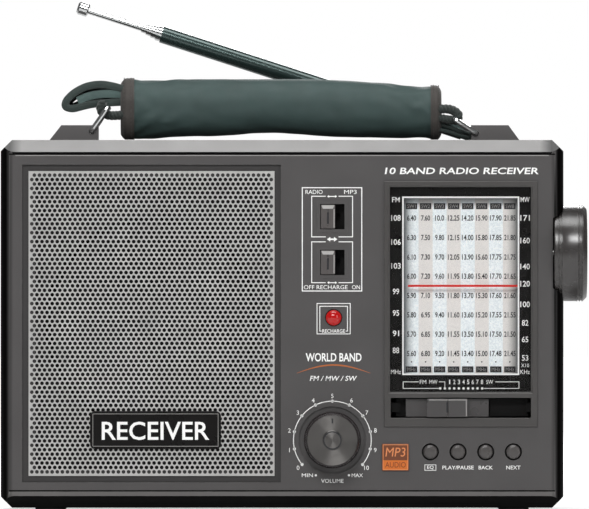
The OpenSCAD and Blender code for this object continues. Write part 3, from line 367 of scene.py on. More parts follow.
# Plastics, boards and inks: name, colour, roughness, grain and its depth in mm, and what colour
# the edges wear to.
MOULDED = {
    "case": ("case_moulding", (77, 75, 75), 0.4, 0.4, 0.012, (120, 118, 116)),
    # near black: painted shade on the faces that look down, in the grooves and in the slider slot
    "case_foot": ("case_foot_band", (3, 3, 3), 0.6, 0.4, 0.012, (20, 20, 20)),
    # the top band's faces: the case colour painted lighter as the light from above on them
    "top_band": ("case_top_band", (132, 131, 130), 0.36, 0.4, 0.01, (170, 168, 166)),
    # the front faces above the foot, painted lighter as a highlight
    "strip": ("case_foot_strip", (98, 96, 95), 0.4, 0.4, 0.012, (150, 148, 146)),
    # darker grey: painted shade on the grille's recessed floor and in its holes
    "recess": ("grille_recess", (50, 48, 48), 0.5, 0.4, 0.012, (90, 88, 86)),
    "rear": ("rear_moulding", (78, 76, 76), 0.5, 0.5, 0.02, (112, 110, 108)),
    "door": ("door_moulding", (74, 72, 72), 0.5, 0.5, 0.02, (110, 108, 106)),
    "boss": ("boss_moulding", (92, 90, 90), 0.42, 0.4, 0.012, (128, 126, 124)),
    "frame": ("dial_frame_moulding", (70, 68, 67), 0.34, 0.4, 0.008, (118, 116, 112)),
    "black": ("black_moulding", (11, 10, 10), 0.6, 0.5, 0.012),
    "rubber": ("foot_rubber", (34, 33, 33), 0.75, 0.25, 0.03),
    "glossy_black": ("knob_moulding", (40, 35, 36), 0.24, 0.6, 0.004, (90, 86, 84)),
    "knob_gloss": ("tuning_knob_moulding", (50, 47, 46), 0.27, 0.8, 0.002, (120, 118, 116)),
    "badge": ("badge_lacquer", (9, 7, 6), 0.3, 0.8, 0.003),
    "fibreboard": ("fibreboard", (12, 10, 9), 0.85, 0.5, 0.05),
    "pressed": ("basket_paint", (12, 11, 11), 0.7, 0.5, 0.02),
    "cone": ("cone_pulp", (14, 13, 12), 0.85, 0.5, 0.06),
    "ferrite": ("ferrite", (48, 46, 46), 0.6, 0.6, 0.03),
    "cord": ("cord_nylon", (196, 190, 170), 0.6, 0.2, 0.05),
    "nylon": ("pulley_nylon", (214, 210, 200), 0.45, 0.4, 0.01),
    "slider": ("slider_moulding", (72, 70, 70), 0.3, 0.4, 0.006, (130, 128, 124)),
    "switch": ("switch_moulding", (84, 80, 79), 0.3, 0.4, 0.006, (150, 150, 150)),
    "button": ("button_moulding", (78, 75, 74), 0.3, 0.4, 0.006, (110, 108, 106)),
    "board": ("board_laminate", (38, 92, 60), 0.4, 1.2, 0.01),
    "jacket": ("cell_jacket", (150, 120, 60), 0.35, 0.6, 0.006),
    "orange": ("badge_orange", (112, 62, 36), 0.35, 0.5, 0.006),
    "orange_bar": ("badge_orange_bar", (205, 108, 38), 0.35, 0.5, 0.006),
    "white_ink": ("white_ink", (250, 250, 248), 0.6, 0.12, 0.008),
    # dark print, also used as painted shade for the caps' slits
    "dark_ink": ("dark_ink", (34, 34, 38), 0.6, 0.12, 0.008),
    "orange_ink": ("orange_ink", (178, 98, 48), 0.55, 0.12, 0.008),
    "tan_ink": ("tan_ink", (222, 140, 88), 0.6, 0.12, 0.008),
    "brown_ink": ("brown_ink", (128, 60, 20), 0.6, 0.12, 0.008),
    # light grey: painted highlight along the switch caps' top and right edges
    "rubbed": ("rubbed_edge", (176, 174, 172), 0.4, 0.2, 0.01),
    # light grey print, also used for painted highlight lines
    "grey_ink": ("grey_ink", (150, 148, 146), 0.6, 0.12, 0.008),
}
# Metals: name, colour, roughness, and for some the stretch of the grain, its depth and its size.
METALS = {
    "screws": ("zinc_screws", (150, 150, 148), 0.34),
    "steel": ("bright_steel", (172, 172, 170), 0.28, (1, 1, 8)),
    "chassis": ("chassis_steel", (120, 120, 118), 0.4, (6, 1, 1)),
    "brass": ("bush_brass", (196, 160, 92), 0.3),
    "can": ("capacitor_can", (168, 168, 166), 0.35),
    "nickel": ("contact_nickel", (190, 188, 180), 0.25),
    "chrome": ("antenna_chrome", (214, 216, 216), 0.1, (8, 1, 1), 0.0015, 0.4),
}
SPECULAR = {"case": 0.45, "case_foot": 0.1, "black": 0.15, "knob_gloss": 0.9, "badge": 0.25, "pressed": 0.1}

mats = {}
for key, (name, colour, *finish) in MOULDED.items():
    worn = [rgb(*c) for c in finish[3:]]
    mats[key] = moulded(name, rgb(*colour), *finish[:3], *worn)
for key, (name, colour, *finish) in METALS.items():
    mats[key] = metal(name, rgb(*colour), *finish)
for key, level in SPECULAR.items():
    mats[key].put("Specular IOR Level", level)
# painted shade on the case's upright rounded edges, and below on the foot's highlight band
round_off(mats["case"], rgb(3, 2, 2), 0.08, 0.6)
# painted shade towards the top band's ends, where it rounds off at the corners
shade_ends(mats["top_band"], rgb(24, 23, 22), -0.7, 120.5, 126)
round_off(mats["strip"], rgb(8, 7, 7), 0.1, 0.7)
mats["grille"] = Shader("grille_paint", rgb(188, 187, 185), 0.42, 0.3).mottle(14, 0.07).uneven(6, 0.08)
mats["grille"].grain(0.25, 0.006)
mats["antenna"] = Shader("antenna_lacquer", rgb(58, 74, 72), 0.22, 0.55).mottle(10, 0.08).uneven(6, 0.05)
mats["antenna"].grain(0.5, 0.004).put("Coat Weight", 0.4)


def led_lens():
    s = Shader("led_lens", rgb(150, 8, 8), 0.1).mottle(2, 0.1).uneven(2, 0.03).grain(0.8, 0.004)
    s.put("Coat Weight", 0.3).put("Emission Color", rgb(220, 10, 8)).put("Emission Strength", 0.25)
    return s


def pointer_red():
    s = Shader("pointer_lacquer_painted_glow", rgb(196, 24, 16), 0.35).mottle(4, 0.08).uneven(3, 0.04).grain(0.5, 0.004)
    # the pointer glows red: painted light, it holds no lamp
    return s.put("Emission Color", rgb(235, 36, 24)).put("Emission Strength", 0.12)


def clear_glass():
    """Thin clear acrylic: it passes light straight and reflects by its angle."""
    s = Shader("clear_acrylic", (1, 1, 1, 1), 0.03)
    tree = s.tree
    tree.nodes.remove(s.principled)
    through = s.node("ShaderNodeBsdfTransparent")
    gloss = s.node("ShaderNodeBsdfGlossy")
    fresnel = s.node("ShaderNodeFresnel")
    both = s.node("ShaderNodeMixShader")
    fresnel.inputs["IOR"].default_value = 1.22
    s.link(s.spread(s.noise(12, 3.0), 0.02, 0.06), gloss.inputs["Roughness"])
    s.link(fresnel.outputs[0], both.inputs[0])
    s.link(through.outputs[0], both.inputs[1])
    s.link(gloss.outputs[0], both.inputs[2])
    s.link(both.outputs[0], s.out.inputs["Surface"])
    return s


def spun_disc():
    """Aluminium turned on a lathe: rings round Y, so highlights fan out from the middle."""
    s = Shader("spun_aluminium", rgb(112, 110, 108), 0.34, 1.0)
    tangent = s.node("ShaderNodeTangent", direction_type="RADIAL", axis="Y")
    s.link(tangent.outputs[0], s.principled.inputs["Tangent"])
    s.put("Anisotropic", 0.85).put("Anisotropic Rotation", 0.25)
    s.mottle(6, 0.06)
    s.uneven(3, 0.04)
    return s.grain(0.4, 0.002)


def weave(name, colour, rough, pitch_mm, depth_mm, sheen=0.3):
    """Woven cloth: two crossed waves of yarn over mottled colour."""
    s = Shader(name, colour, rough).mottle(12, 0.12).uneven(5, 0.05)
    parts = []
    for axis in ("X", "DIAGONAL"):
        wave = s.node("ShaderNodeTexWave", wave_type="BANDS", bands_direction=axis)
        wave.inputs["Scale"].default_value = 1 / (pitch_mm * MM) / 2
        wave.inputs["Distortion"].default_value = 0.6
        wave.inputs["Detail"].default_value = 1.0
        s.link(s.place, wave.inputs["Vector"])
        parts.append(wave.outputs["Fac"])
    crossed = s.maths("MULTIPLY", *parts)
    s.tint(s.spread(crossed, 0.0, 0.35, 0.0, 1.0), tuple(min(1, c * 1.7) for c in colour[:3]) + (1,))
    s.bump(crossed, depth_mm)
    s.grain(0.5, depth_mm * 0.7)
    s.put("Sheen Weight", sheen).put("Sheen Roughness", 0.5)
    return s


mats["led"] = led_lens()
mats["pointer"] = pointer_red()
mats["glass"] = clear_glass()
mats["disc"] = spun_disc()
mats["sleeve"] = weave("sleeve_cloth", rgb(50, 69, 67), 0.66, 0.5, 0.02, 0.05)
mats["trim"] = weave("trim_cloth", rgb(62, 58, 55), 0.75, 0.6, 0.06, 0.15)
mats["webbing"] = weave("webbing_cloth", rgb(44, 56, 53), 0.7, 0.9, 0.14, 0.2)
# the webbing's colour made lighter: painted light on a strap's broad side
mats["lining"] = weave("lining_cloth", rgb(72, 92, 89), 0.7, 0.7, 0.05, 0.1)
mats["rope"] = weave("rope_cloth", rgb(38, 46, 43), 0.75, 0.5, 0.08, 0.3)
mats["thread"] = weave("sewing_thread", rgb(60, 58, 54), 0.7, 0.3, 0.03, 0.3)


# ---------------------------------------------------------------------------- mesh helpers


def piece(name, mesh, body, material, stands_for=(), sharp=35):
    """Names a mesh as a piece: material, shading, body and the CAD nodes it stands for."""
    shares = [f.material_index for f in mesh.polygons]
    mesh.materials.clear()
    for m in (material if isinstance(material, list) else [material]):
        mesh.materials.append(m.material)
    mesh.polygons.foreach_set("material_index", [min(i, len(mesh.materials) - 1) for i in shares])
    mesh.polygons.foreach_set("use_smooth", [True] * len(mesh.polygons))
    mesh.set_sharp_from_angle(angle=math.radians(sharp))
    o = bpy.data.objects.new(name, mesh)
    scene.collection.objects.link(o)
    if body:
        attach(o, body)
    if stands_for:
        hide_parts(*stands_for)
    return o


def to_mesh(name, verts, faces, outward=True):
    mesh = bpy.data.meshes.new(name)
    mesh.from_pydata([tuple(v) for v in verts], [], faces)
    if outward:
        bm = bmesh.new()
        bm.from_mesh(mesh)
        bmesh.ops.recalc_face_normals(bm, faces=bm.faces)
        bm.to_mesh(mesh)
        bm.free()
    return mesh


def soften(node, material, width=0.3, angle=30, bands=(), share=None):
    """The CAD node's own shape, with its hard edges rounded; share picks each face's band."""
    mesh = nodes[node].data.copy()
    mesh.name = node + "_finished"
    if "custom_normal" in mesh.attributes:
        mesh.attributes.remove(mesh.attributes["custom_normal"])
    bm = bmesh.new()
    bm.from_mesh(mesh)
    bmesh.ops.remove_doubles(bm, verts=bm.verts, dist=2e-6)
    for face in bm.faces:
        face.material_index = share(face) if share else 0
    bm.to_mesh(mesh)
    bm.free()
    body = nodes[node]["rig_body"]
    o = piece(node + "_finished", mesh, body, [material, *bands], [node], 40)
    if width:
        bevel = o.modifiers.new("rounded", "BEVEL")
        bevel.width = width * MM
        bevel.segments = 2
        bevel.limit_method = "ANGLE"
        bevel.angle_limit = math.radians(angle)
        bevel.use_clamp_overlap = False
        bevel.miter_outer = "MITER_ARC"
    even = o.modifiers.new("even", "WEIGHTED_NORMAL")
    even.keep_sharp = True
    return o


def repaint(node, material):
    """A CAD node kept as it is, with a finished material."""
    o = nodes[node]
    if o.material_slots:
        for s in o.material_slots:
            s.material = material.material
    else:
        o.data.materials.append(material.material)


def lathe(name, profile, centre, out, material, body, stands_for, sides=128, ribs=None, sharp=30):
    """A turned piece: profile is (radius, height) in mm from pole to pole, height along out.
    ribs is (number, depth in mm, low, high): grips cut where the height lies between."""
    out = Vector(out)
    across = Vector((0, 0, 1)).cross(out).normalized()
    up = out.cross(across)
    verts, rings, faces = [], [], []
    for r, h in profile:
        if r == 0:
            rings.append([len(verts)])
            verts.append(centre + out * h * MM)
            continue
        ring = []
        for i in range(sides):
            a = 2 * math.pi * i / sides
            radius = r
            if ribs and ribs[2] <= h <= ribs[3]:
                radius -= ribs[1] * (0.5 - 0.5 * math.cos(a * ribs[0])) ** 2
            ring.append(len(verts))
            verts.append(centre + (across * math.cos(a) + up * math.sin(a)) * radius * MM + out * h * MM)
        rings.append(ring)
    closed = profile[0][0] > 0 and profile[-1][0] > 0
    for a, b in zip(rings, rings[1:] + rings[:1] if closed else rings[1:]):
        for i in range(sides):
            j = (i + 1) % sides
            if len(a) == 1:
                faces.append((a[0], b[i], b[j]))
            elif len(b) == 1:
                faces.append((a[j], a[i], b[0]))
            else:
                faces.append((a[i], a[j], b[j], b[i]))
    return piece(name, to_mesh(name, verts, faces), body, material, stands_for, sharp)


class Ink:
    """Raised printing on a plane that faces -Y: all its strokes go into one mesh."""

    def __init__(self, y, proud=INK, sunk=0.02):
        self.front, self.back = y - proud, y + sunk
        self.verts, self.faces = [], []

    def prism(self, outline):
        """A solid from a closed outline of (x, z), in order."""
        n, start = len(outline), len(self.verts)
        for y in (self.front, self.back):
            self.verts += [at(x, y, z) for x, z in outline]
        self.faces.append(tuple(range(start, start + n)))
        self.faces.append(tuple(range(start + 2 * n - 1, start + n - 1, -1)))
        for i in range(n):
            j = (i + 1) % n
            self.faces.append((start + i, start + n + i, start + n + j, start + j))

    def bar(self, x0, x1, z0, z1):
        self.prism([(x0, z0), (x1, z0), (x1, z1), (x0, z1)])

    def box(self, x0, x1, z0, z1, w=0.45, gap_top=None, gap_foot=None):
        """A rectangular line w wide, with gaps (from, to) in its top and bottom strokes."""
        self.bar(x0, x0 + w, z0, z1)
        self.bar(x1 - w, x1, z0, z1)
        for z, gap in ((z0, gap_foot), (z1 - w, gap_top)):
            spans = [(x0 + w, gap[0]), (gap[1], x1 - w)] if gap else [(x0 + w, x1 - w)]
            for a, b in spans:
                self.bar(a, b, z, z + w)

    def ribbon(self, points, widths):
        """A stroke through points, as wide as widths says at each."""
        left, right = [], []
        for i, (x, z) in enumerate(points):
            x0, z0 = points[max(i - 1, 0)]
            x1, z1 = points[min(i + 1, len(points) - 1)]
            d = math.hypot(x1 - x0, z1 - z0)
            nx, nz = -(z1 - z0) / d * widths[i] / 2, (x1 - x0) / d * widths[i] / 2
            left.append((x + nx, z + nz))
            right.append((x - nx, z - nz))
        for i in range(len(points) - 1):
            self.prism([right[i], right[i + 1], left[i + 1], left[i]])

    def dot(self, x, z, r, sides=14):
        turns = [2 * math.pi * i / sides for i in range(sides)]
        self.prism([(x + r * math.cos(a), z + r * math.sin(a)) for a in turns])

    def arrows(self, x, z, length, height):
        """A small two-headed arrow."""
        h, w, s = length / 2, height / 2, height * 0.16
        head = min(h * 0.75, height * 0.7)
        self.prism([(x - h, z), (x - h + head, z - w), (x - h + head, z + w)])
        self.prism([(x + h, z), (x + h - head, z + w), (x + h - head, z - w)])
        self.bar(x - h + head, x + h - head, z - s, z + s)

    def words(self, text, x, z, height, width=None, heavy=0.0, side="CENTER", lean=0.0, squeeze=1.0):
        """Letters with their middle at z; width fits the whole word."""
        curve = bpy.data.curves.new("letters", "FONT")
        curve.body = text
        curve.resolution_u = 3
        curve.offset = heavy
        curve.extrude = 0.5
        curve.shear = lean
        o = bpy.data.objects.new("letters", curve)
        scene.collection.objects.link(o)
        bpy.context.view_layer.update()
        mesh = bpy.data.meshes.new_from_object(o.evaluated_get(bpy.context.evaluated_depsgraph_get()))
        points = [v.co for v in mesh.vertices]
        x0, x1 = min(p.x for p in points), max(p.x for p in points)
        low, high = min(p.y for p in points), max(p.y for p in points)
        tall = height / (high - low)
        wide = width / (x1 - x0) if width else tall * squeeze
        shift = {"CENTER": (x0 + x1) / 2, "LEFT": x0, "RIGHT": x1}[side]
        start = len(self.verts)
        for p in points:
            y = self.front if p.z > 0 else self.back
            self.verts.append(at(x + (p.x - shift) * wide, y, z + (p.y - (low + high) / 2) * tall))
        self.faces += [tuple(start + i for i in f.vertices) for f in mesh.polygons]
        bpy.data.objects.remove(o)
        bpy.data.curves.remove(curve)
        bpy.data.meshes.remove(mesh)

    def done(self, name, material, body="root"):
        mesh = to_mesh(name, self.verts, self.faces)
        return piece(name, mesh, body, material, (), 30)


def frame_prism(name, outer, inner, y0, y1, material, body="root", corner=0.0, stands_for=()):
    """A flat ring between two rectangles (x0, x1, z0, z1), from y0 to y1."""
    def loop(box, r):
        x0, x1, z0, z1 = box
        if r <= 0:
            return [(x0, z0), (x1, z0), (x1, z1), (x0, z1)]
        points = []
        for cx, cz, start in ((x0 + r, z0 + r, 180), (x1 - r, z0 + r, 270),
                              (x1 - r, z1 - r, 0), (x0 + r, z1 - r, 90)):
            for i in range(5):
                a = math.radians(start + 90 * i / 4)
                points.append((cx + r * math.cos(a), cz + r * math.sin(a)))
        return points
    a, b = loop(outer, corner), loop(inner, corner * 0.6)
    n = len(a)
    verts = [at(x, y, z) for y in (y0, y1) for ring in (a, b) for x, z in ring]
    faces = []
    for i in range(n):
        j = (i + 1) % n
        faces += [(i, j, n + j, n + i), (2 * n + j, 2 * n + i, 3 * n + i, 3 * n + j),
                  (j, i, 2 * n + i, 2 * n + j), (n + i, n + j, 3 * n + j, 3 * n + i)]
    return piece(name, to_mesh(name, verts, faces), body, material, stands_for, 30)


def smooth_path(points, per_span=8):
    """A Catmull-Rom curve through points."""
    points = [Vector(p) for p in points]
    padded = [points[0] * 2 - points[1], *points, points[-1] * 2 - points[-2]]
    curve = []
    for i in range(len(points) - 1):
        a, b, c, d = padded[i:i + 4]
        for k in range(per_span):
            t = k / per_span
            curve.append(0.5 * ((2 * b) + (c - a) * t + (2 * a - 5 * b + 4 * c - d) * t ** 2
                                + (3 * b - a - 3 * c + d) * t ** 3))
    curve.append(points[-1])
    return curve


def sweep(path, section, flat=Vector((0, 1, 0)), verts=None, faces=None, rolls=None):
    """Carries a closed section of (side, up) along path, with side kept near flat, rolled in degrees."""
    verts = [] if verts is None else verts
    faces = [] if faces is None else faces
    n, start = len(section), len(verts)
    for i, p in enumerate(path):
        ahead = (path[min(i + 1, len(path) - 1)] - path[max(i - 1, 0)]).normalized()
        side = (flat - ahead * flat.dot(ahead)).normalized()
        up = ahead.cross(side)
        if rolls:
            a = math.radians(rolls[i])
            side, up = side * math.cos(a) + up * math.sin(a), up * math.cos(a) - side * math.sin(a)
        verts += [p + side * s + up * u for s, u in section]
    for i in range(len(path) - 1):
        for k in range(n):
            a, b = start + i * n + k, start + i * n + (k + 1) % n
            faces.append((a, b, b + n, a + n))
    faces.append(tuple(range(start, start + n)))
    faces.append(tuple(range(start + (len(path) - 1) * n, start + len(path) * n)))
    return verts, faces


def round_section(r, sides=10):
    turns = [2 * math.pi * i / sides for i in range(sides)]
    return [(r * math.cos(a), r * math.sin(a)) for a in turns]


# ---------------------------------------------------------------------------------- the case

FOOT_TOP, STRIP_TOP = 12.0, 9.6         # how high the painted shade on faces looking down and the low band painted as a highlight reach
SLIDER_SLOT = (52, 118, 43.5, 53.5)     # x and z round the band slider's slot
GROOVE_DEPTH, SHADE_LINE_FOOT = 0.5, 166.8    # the groove round the face, and where the painted shade line under the top band starts
RECESS = (1.0, 1.4)                     # how deep the grille's floor lies


def front_band(face):
    """Which material a face of the front shell has: 0 case, 1 painted shade (faces looking down, the groove
    and floors at its depth, the slider slot, the line under the top band), 2 top band painted lighter as lit
    from above, 3 low front band painted lighter as a highlight, 4 grille floor painted darker as shade.
    """
    n = face.normal
    x, deep, z = (face.calc_center_median() - at(0, FACE, 0)) / MM
    # painted shade: faces looking down near the foot
    if n.z < -0.3 and z < FOOT_TOP:
        return 1
    # painted light: faces looking up and forward take the lighter top band
    if n.z > 0.3 and n.y < -0.3:
        return 2
    # painted highlight: front faces low down take the lighter colour
    if n.y < -0.3 and z < STRIP_TOP:
        return 3
    if n.y >= -0.9:
        return 0
    # painted shade: front faces inside the band slider's slot
    x0, x1, z0, z1 = SLIDER_SLOT
    if x0 < x < x1 and z0 < z < z1:
        return 1
    # painted shade: the groove's floor, floors at its depth, and the line under the top band
    if abs(deep - GROOVE_DEPTH) < 0.06 or (deep < 0.1 and z > SHADE_LINE_FOOT):
        return 1
    # painted shade: the grille's recessed floor takes the darker grey
    return 4 if RECESS[0] < deep < RECESS[1] else 0


def rear_band(face):
    """The rear shell has shade painted on every face that looks down."""
    return 1 if face.normal.z < -0.3 else 0


soften("front_cabinet", mats["case"], 0, 34,
       [mats["case_foot"], mats["top_band"], mats["strip"], mats["recess"]], front_band)
soften("rear_cabinet", mats["rear"], 0, 34, [mats["case_foot"]], rear_band)
for node, material, slot, width in (
        ("battery_door", "door", "case_plastic", 0.25), ("feet", "rubber", "rubber_black", 0.25),
        ("cabinet_screws", "screws", "screw_steel", 0), ("handle_bosses", "boss", "case_plastic", 0),
        ("power_inlet", "black", "black_plastic", 0.2), ("charge_led", "led", "led_red", 0),
        ("dial_frame", "frame", "trim_plastic", 0.25), ("grille_badge", "badge", "badge_black", 0.25),
        ("mode_badge", "orange", "badge_orange", 0.25), ("eq_button", "button", "button_plastic", 0.25),
        ("play_button", "button", "button_plastic", 0.25), ("back_button", "button", "button_plastic", 0.25),
        ("next_button", "button", "button_plastic", 0.25),
        ("function_switch_cap", "switch", "switch_black", 0.45),
        ("recharge_switch_cap", "switch", "switch_black", 0.45),
        ("band_slider", "slider", "slider_plastic", 0.3)):
    soften(node, mats[material], width)

for node, material, slot in (
        ("speaker_baffle", "fibreboard", "fibreboard"), ("speaker_basket", "pressed", "pressed_steel"),
        ("speaker_cone", "cone", "cone_paper"), ("speaker_magnet", "ferrite", "magnet_ferrite"),
        ("dial_chassis", "chassis", "chassis_steel"), ("dial_lens", "glass", "lens_glass"),
        ("dial_pointer", "pointer", "pointer_red"), ("tuning_shaft", "steel", "shaft_steel"),
        ("tuning_bush", "brass", "bush_brass"), ("dial_cord", "cord", "cord_nylon"),
        ("upper_pulley", "nylon", "pulley_nylon"), ("lower_pulley", "nylon", "pulley_nylon"),
        ("cord_drum", "nylon", "pulley_nylon"), ("tuning_capacitor", "can", "capacitor_can"),
        ("band_switch", "black", "black_plastic"), ("slide_switches", "black", "black_plastic"),
        ("volume_control", "can", "capacitor_can"),
        ("button_board", "board", "board_green"), ("main_board", "board", "board_green"),
        ("ferrite_antenna", "ferrite", "ferrite_black"), ("media_board", "black", "black_plastic"),
        ("transformer", "ferrite", "core_steel"), ("battery_cells", "jacket", "cell_jacket"),
        ("battery_contacts", "nickel", "contact_nickel"), ("antenna_base", "black", "black_plastic"),
        ("antenna_swivel", "chrome", "antenna_chrome"), ("antenna_tube", "antenna", "antenna_dark"),
        ("antenna_section_2", "chrome", "antenna_chrome"), ("antenna_section_3", "chrome", "antenna_chrome"),
        ("antenna_section_4", "chrome", "antenna_chrome"), ("antenna_section_5", "chrome", "antenna_chrome"),
        ("antenna_rod", "chrome", "antenna_chrome"), ("wire_links", "chrome", "link_chrome"),
        ("volume_knob_disc", "disc", "knob_disc")):
    repaint(node, mats[material])

led_low, led_high = node_mm("charge_led")
# a black disc round the LED: painted shade in the gap round it
led_gap_shade = Ink(FACE, 0.05)
led_gap_shade.dot((led_low.x + led_high.x) / 2, (led_low.z + led_high.z) / 2, 4.1)
led_gap_shade.done("charge_led_gap_shade", mats["black"])


# ------------------------------------------------------------------------------- the grille

PITCH, ROW = 2.37, 2.06
HOLE = 0.91             # hole radius
COLUMNS, ROWS = 48, 68


def grille_mesh():
    """A punched plate: staggered holes, each in a cell that shares its edge points."""
    low, high = node_mm("speaker_grille")
    x0 = (low.x + high.x - COLUMNS * PITCH) / 2
    z0 = (low.z + high.z - ROWS * ROW) / 2
    keys, verts, faces = {}, [], []

    def point(i, j, side):
        """Grid point i half pitches along and j half rows up, on the front or back."""
        key = (i, j, side)
        if key not in keys:
            keys[key] = len(verts)
            y = low.y if side == 0 else high.y
            verts.append(at(x0 + i * PITCH / 2, y, z0 + j * ROW / 2))
        return keys[key]

    def corner(x, z, side):
        verts.append(at(x, low.y if side == 0 else high.y, z))
        return len(verts) - 1

    last = 2 * COLUMNS
    for j in range(ROWS):
        odd = j % 2
        for i in range(COLUMNS - odd):
            a = 2 * i + odd
            edge = [(a + 2, 2 * j + 1), (a + 2, 2 * j + 2), (a + 1, 2 * j + 2), (a, 2 * j + 2),
                    (a, 2 * j + 1), (a, 2 * j), (a + 1, 2 * j), (a + 2, 2 * j)]
            hole = []
            for side in (0, 1):
                ring = []
                for k in range(8):
                    t = math.pi / 4 * k
                    x = x0 + (a + 1) * PITCH / 2 + HOLE * math.cos(t)
                    z = z0 + (j + 0.5) * ROW + HOLE * math.sin(t)
                    ring.append(corner(x, z, side))
                hole.append(ring)
                rim = [point(p, q, side) for p, q in edge]
                for k in range(8):
                    m = (k + 1) % 8
                    first, second = (k, m) if side else (m, k)
                    faces.append((rim[first], rim[second], ring[second], ring[first]))
            for k in range(8):
                m = (k + 1) % 8
                faces.append((hole[0][k], hole[1][k], hole[1][m], hole[0][m]))
        if odd:
            for side in (0, 1):
                faces.append([point(p, q, side) for p, q in
                              ((0, 2 * j), (1, 2 * j), (1, 2 * j + 1), (1, 2 * j + 2), (0, 2 * j + 2))])
                faces.append([point(p, q, side) for p, q in
                              ((last, 2 * j), (last, 2 * j + 2), (last - 1, 2 * j + 2), (last - 1, 2 * j + 1),
                               (last - 1, 2 * j))])
    corners = []
    for side in (0, 1):
        c = [corner(x, z, side) for x, z in
             ((low.x, low.z), (high.x, low.z), (high.x, high.z), (low.x, high.z))]
        corners.append(c)
        foot = [point(i, 0, side) for i in range(last + 1)]
        top = [point(i, 2 * ROWS, side) for i in range(last + 1)]
        left, right = [], []
        for j in range(ROWS + 1):
            left.append(point(0, 2 * j, side))
            right.append(point(last, 2 * j, side))
            if j < ROWS and j % 2 == 0:
                left.append(point(0, 2 * j + 1, side))
                right.append(point(last, 2 * j + 1, side))
        faces += [[c[0], c[1], *reversed(foot)], [c[2], c[3], *top],
                  [c[3], c[0], *left], [c[1], c[2], *reversed(right)]]
    for k in range(4):
        m = (k + 1) % 4
        faces.append((corners[0][k], corners[0][m], corners[1][m], corners[1][k]))
    mesh = to_mesh("speaker_grille_punched", verts, faces)
    # hole walls and plate edges take the darker grey, painted shade in the holes
    for face in mesh.polygons:
        face.material_index = 0 if abs(face.normal.y) > 0.5 else 1
    return mesh


piece("speaker_grille_punched", grille_mesh(), "root", [mats["grille"], mats["recess"]],
      ["speaker_grille"], 30)

badge_low, badge_high = node_mm("grille_badge")
badge_ink = Ink(badge_low.y)
badge_ink.words("RECEIVER", (badge_low.x + badge_high.x) / 2, 37.9, 8.6, 50.0, 0.012)
badge_ink.done("badge_lettering", mats["white_ink"])
badge_line = Ink(badge_low.y)
badge_line.box(badge_low.x + 1.2, badge_high.x - 1.2, badge_low.z + 1.2, badge_high.z - 1.2, 0.25)
badge_line.done("badge_line", mats["grey_ink"])


# ----------------------------------------------------------------------- printing on the front

ink = Ink(FACE)
ink.box(9.2, 37.3, 102.7, 151.2, 0.45)
ink.box(13.6, 33.0, 127.9, 147.2, 0.4, (20.3, 26.3), (20.3, 26.3))
ink.box(13.6, 33.0, 106.6, 126.0, 0.4, (20.3, 26.3), (20.3, 26.3))
ink.arrows(23.3, 146.9, 4.6, 1.3)
ink.arrows(23.3, 127.0, 4.8, 2.2)
ink.arrows(23.3, 106.8, 4.6, 1.3)
for word, x, z, width in (("RADIO", 14.9, 149.0, 8.0), ("MP3", 31.8, 149.0, 5.8), ("OFF", 12.6, 104.7, 4.9),
                          ("RECHARGE", 23.3, 104.7, 14.4), ("ON", 34.4, 104.7, 3.7)):
    ink.words(word, x, z, 1.9, width)
ink.box(16.1, 31.9, 82.8, 97.3, 0.35)
ink.box(17.4, 30.6, 84.1, 96.0, 0.35, None, (18.4, 29.6))
ink.words("RECHARGE", 24.0, 84.3, 1.7, 10.6, 0.01)
ink.words("WORLD BAND", 24.0, 72.1, 4.0, 26.0, 0.02)
ink.words("FM / MW / SW", 23.9, 62.3, 2.3, 22.0, 0.01, lean=0.2)

# a flat light grey line under the groove: a painted highlight for the light an edge there would catch
highlight_line = Ink(FACE, 0.12)
highlight_line.bar(-124, 124, 165.75, 166.15)
highlight_line.done("case_painted_highlight_line", mats["grey_ink"])

VOLUME = (23.4, 33.6)
SCALE_R = 18.1
SCALE_END = 129         # degrees from the top to 0 and to 10


def round_volume(degrees, r):
    """A point round the volume knob, degrees clockwise from the top."""
    a = math.radians(degrees)
    return VOLUME[0] + r * math.sin(a), VOLUME[1] + r * math.cos(a)


sweep_points = [round_volume(SCALE_END * (i / 40 - 1), SCALE_R) for i in range(81)]
ink.ribbon(sweep_points, [0.4] * len(sweep_points))
for i in range(11):
    turn = SCALE_END * (i / 5 - 1)
    ink.dot(*round_volume(turn, SCALE_R), 0.72)
    spot = round_volume(turn, SCALE_R + 2.4)
    ink.words(str(i), spot[0], spot[1], 2.0)
for turn, word, side, aside in ((-154.8, "MIN", "RIGHT", -1.3), (154.8, "MAX", "LEFT", 1.3)):
    spot = round_volume(turn, SCALE_R)
    ink.dot(*spot, 0.55)
    ink.words(word, spot[0] + aside, spot[1], 1.7, 5.2, side=side)
ink.words("VOLUME", 23.4, 14.6, 1.8, 10.4)
ink.words("10 BAND RADIO RECEIVER", 83.5, 158.8, 3.1, 71.5, 0.018, lean=0.12)
LABELS = (("EQ", 3.0), ("PLAY/PAUSE", 14.6), ("BACK", 6.6), ("NEXT", 6.6))
for i, (word, width) in enumerate(LABELS):
    ink.words(word, 69.0 + 12.87 * i, 20.8, 1.75, width, 0.008)
ink.box(66.3, 71.7, 19.4, 22.2, 0.25)
ink.done("front_printing", mats["white_ink"])

arc = Ink(FACE)
ARC = [(6.8 + 34.4 * i / 30, 64.7 + 3.8 * math.sin(math.pi * i / 30)) for i in range(31)]
arc.ribbon(ARC, [0.12 + 0.6 * math.sin(math.pi * i / 30) for i in range(31)])
arc.done("front_arc", mats["orange_ink"])

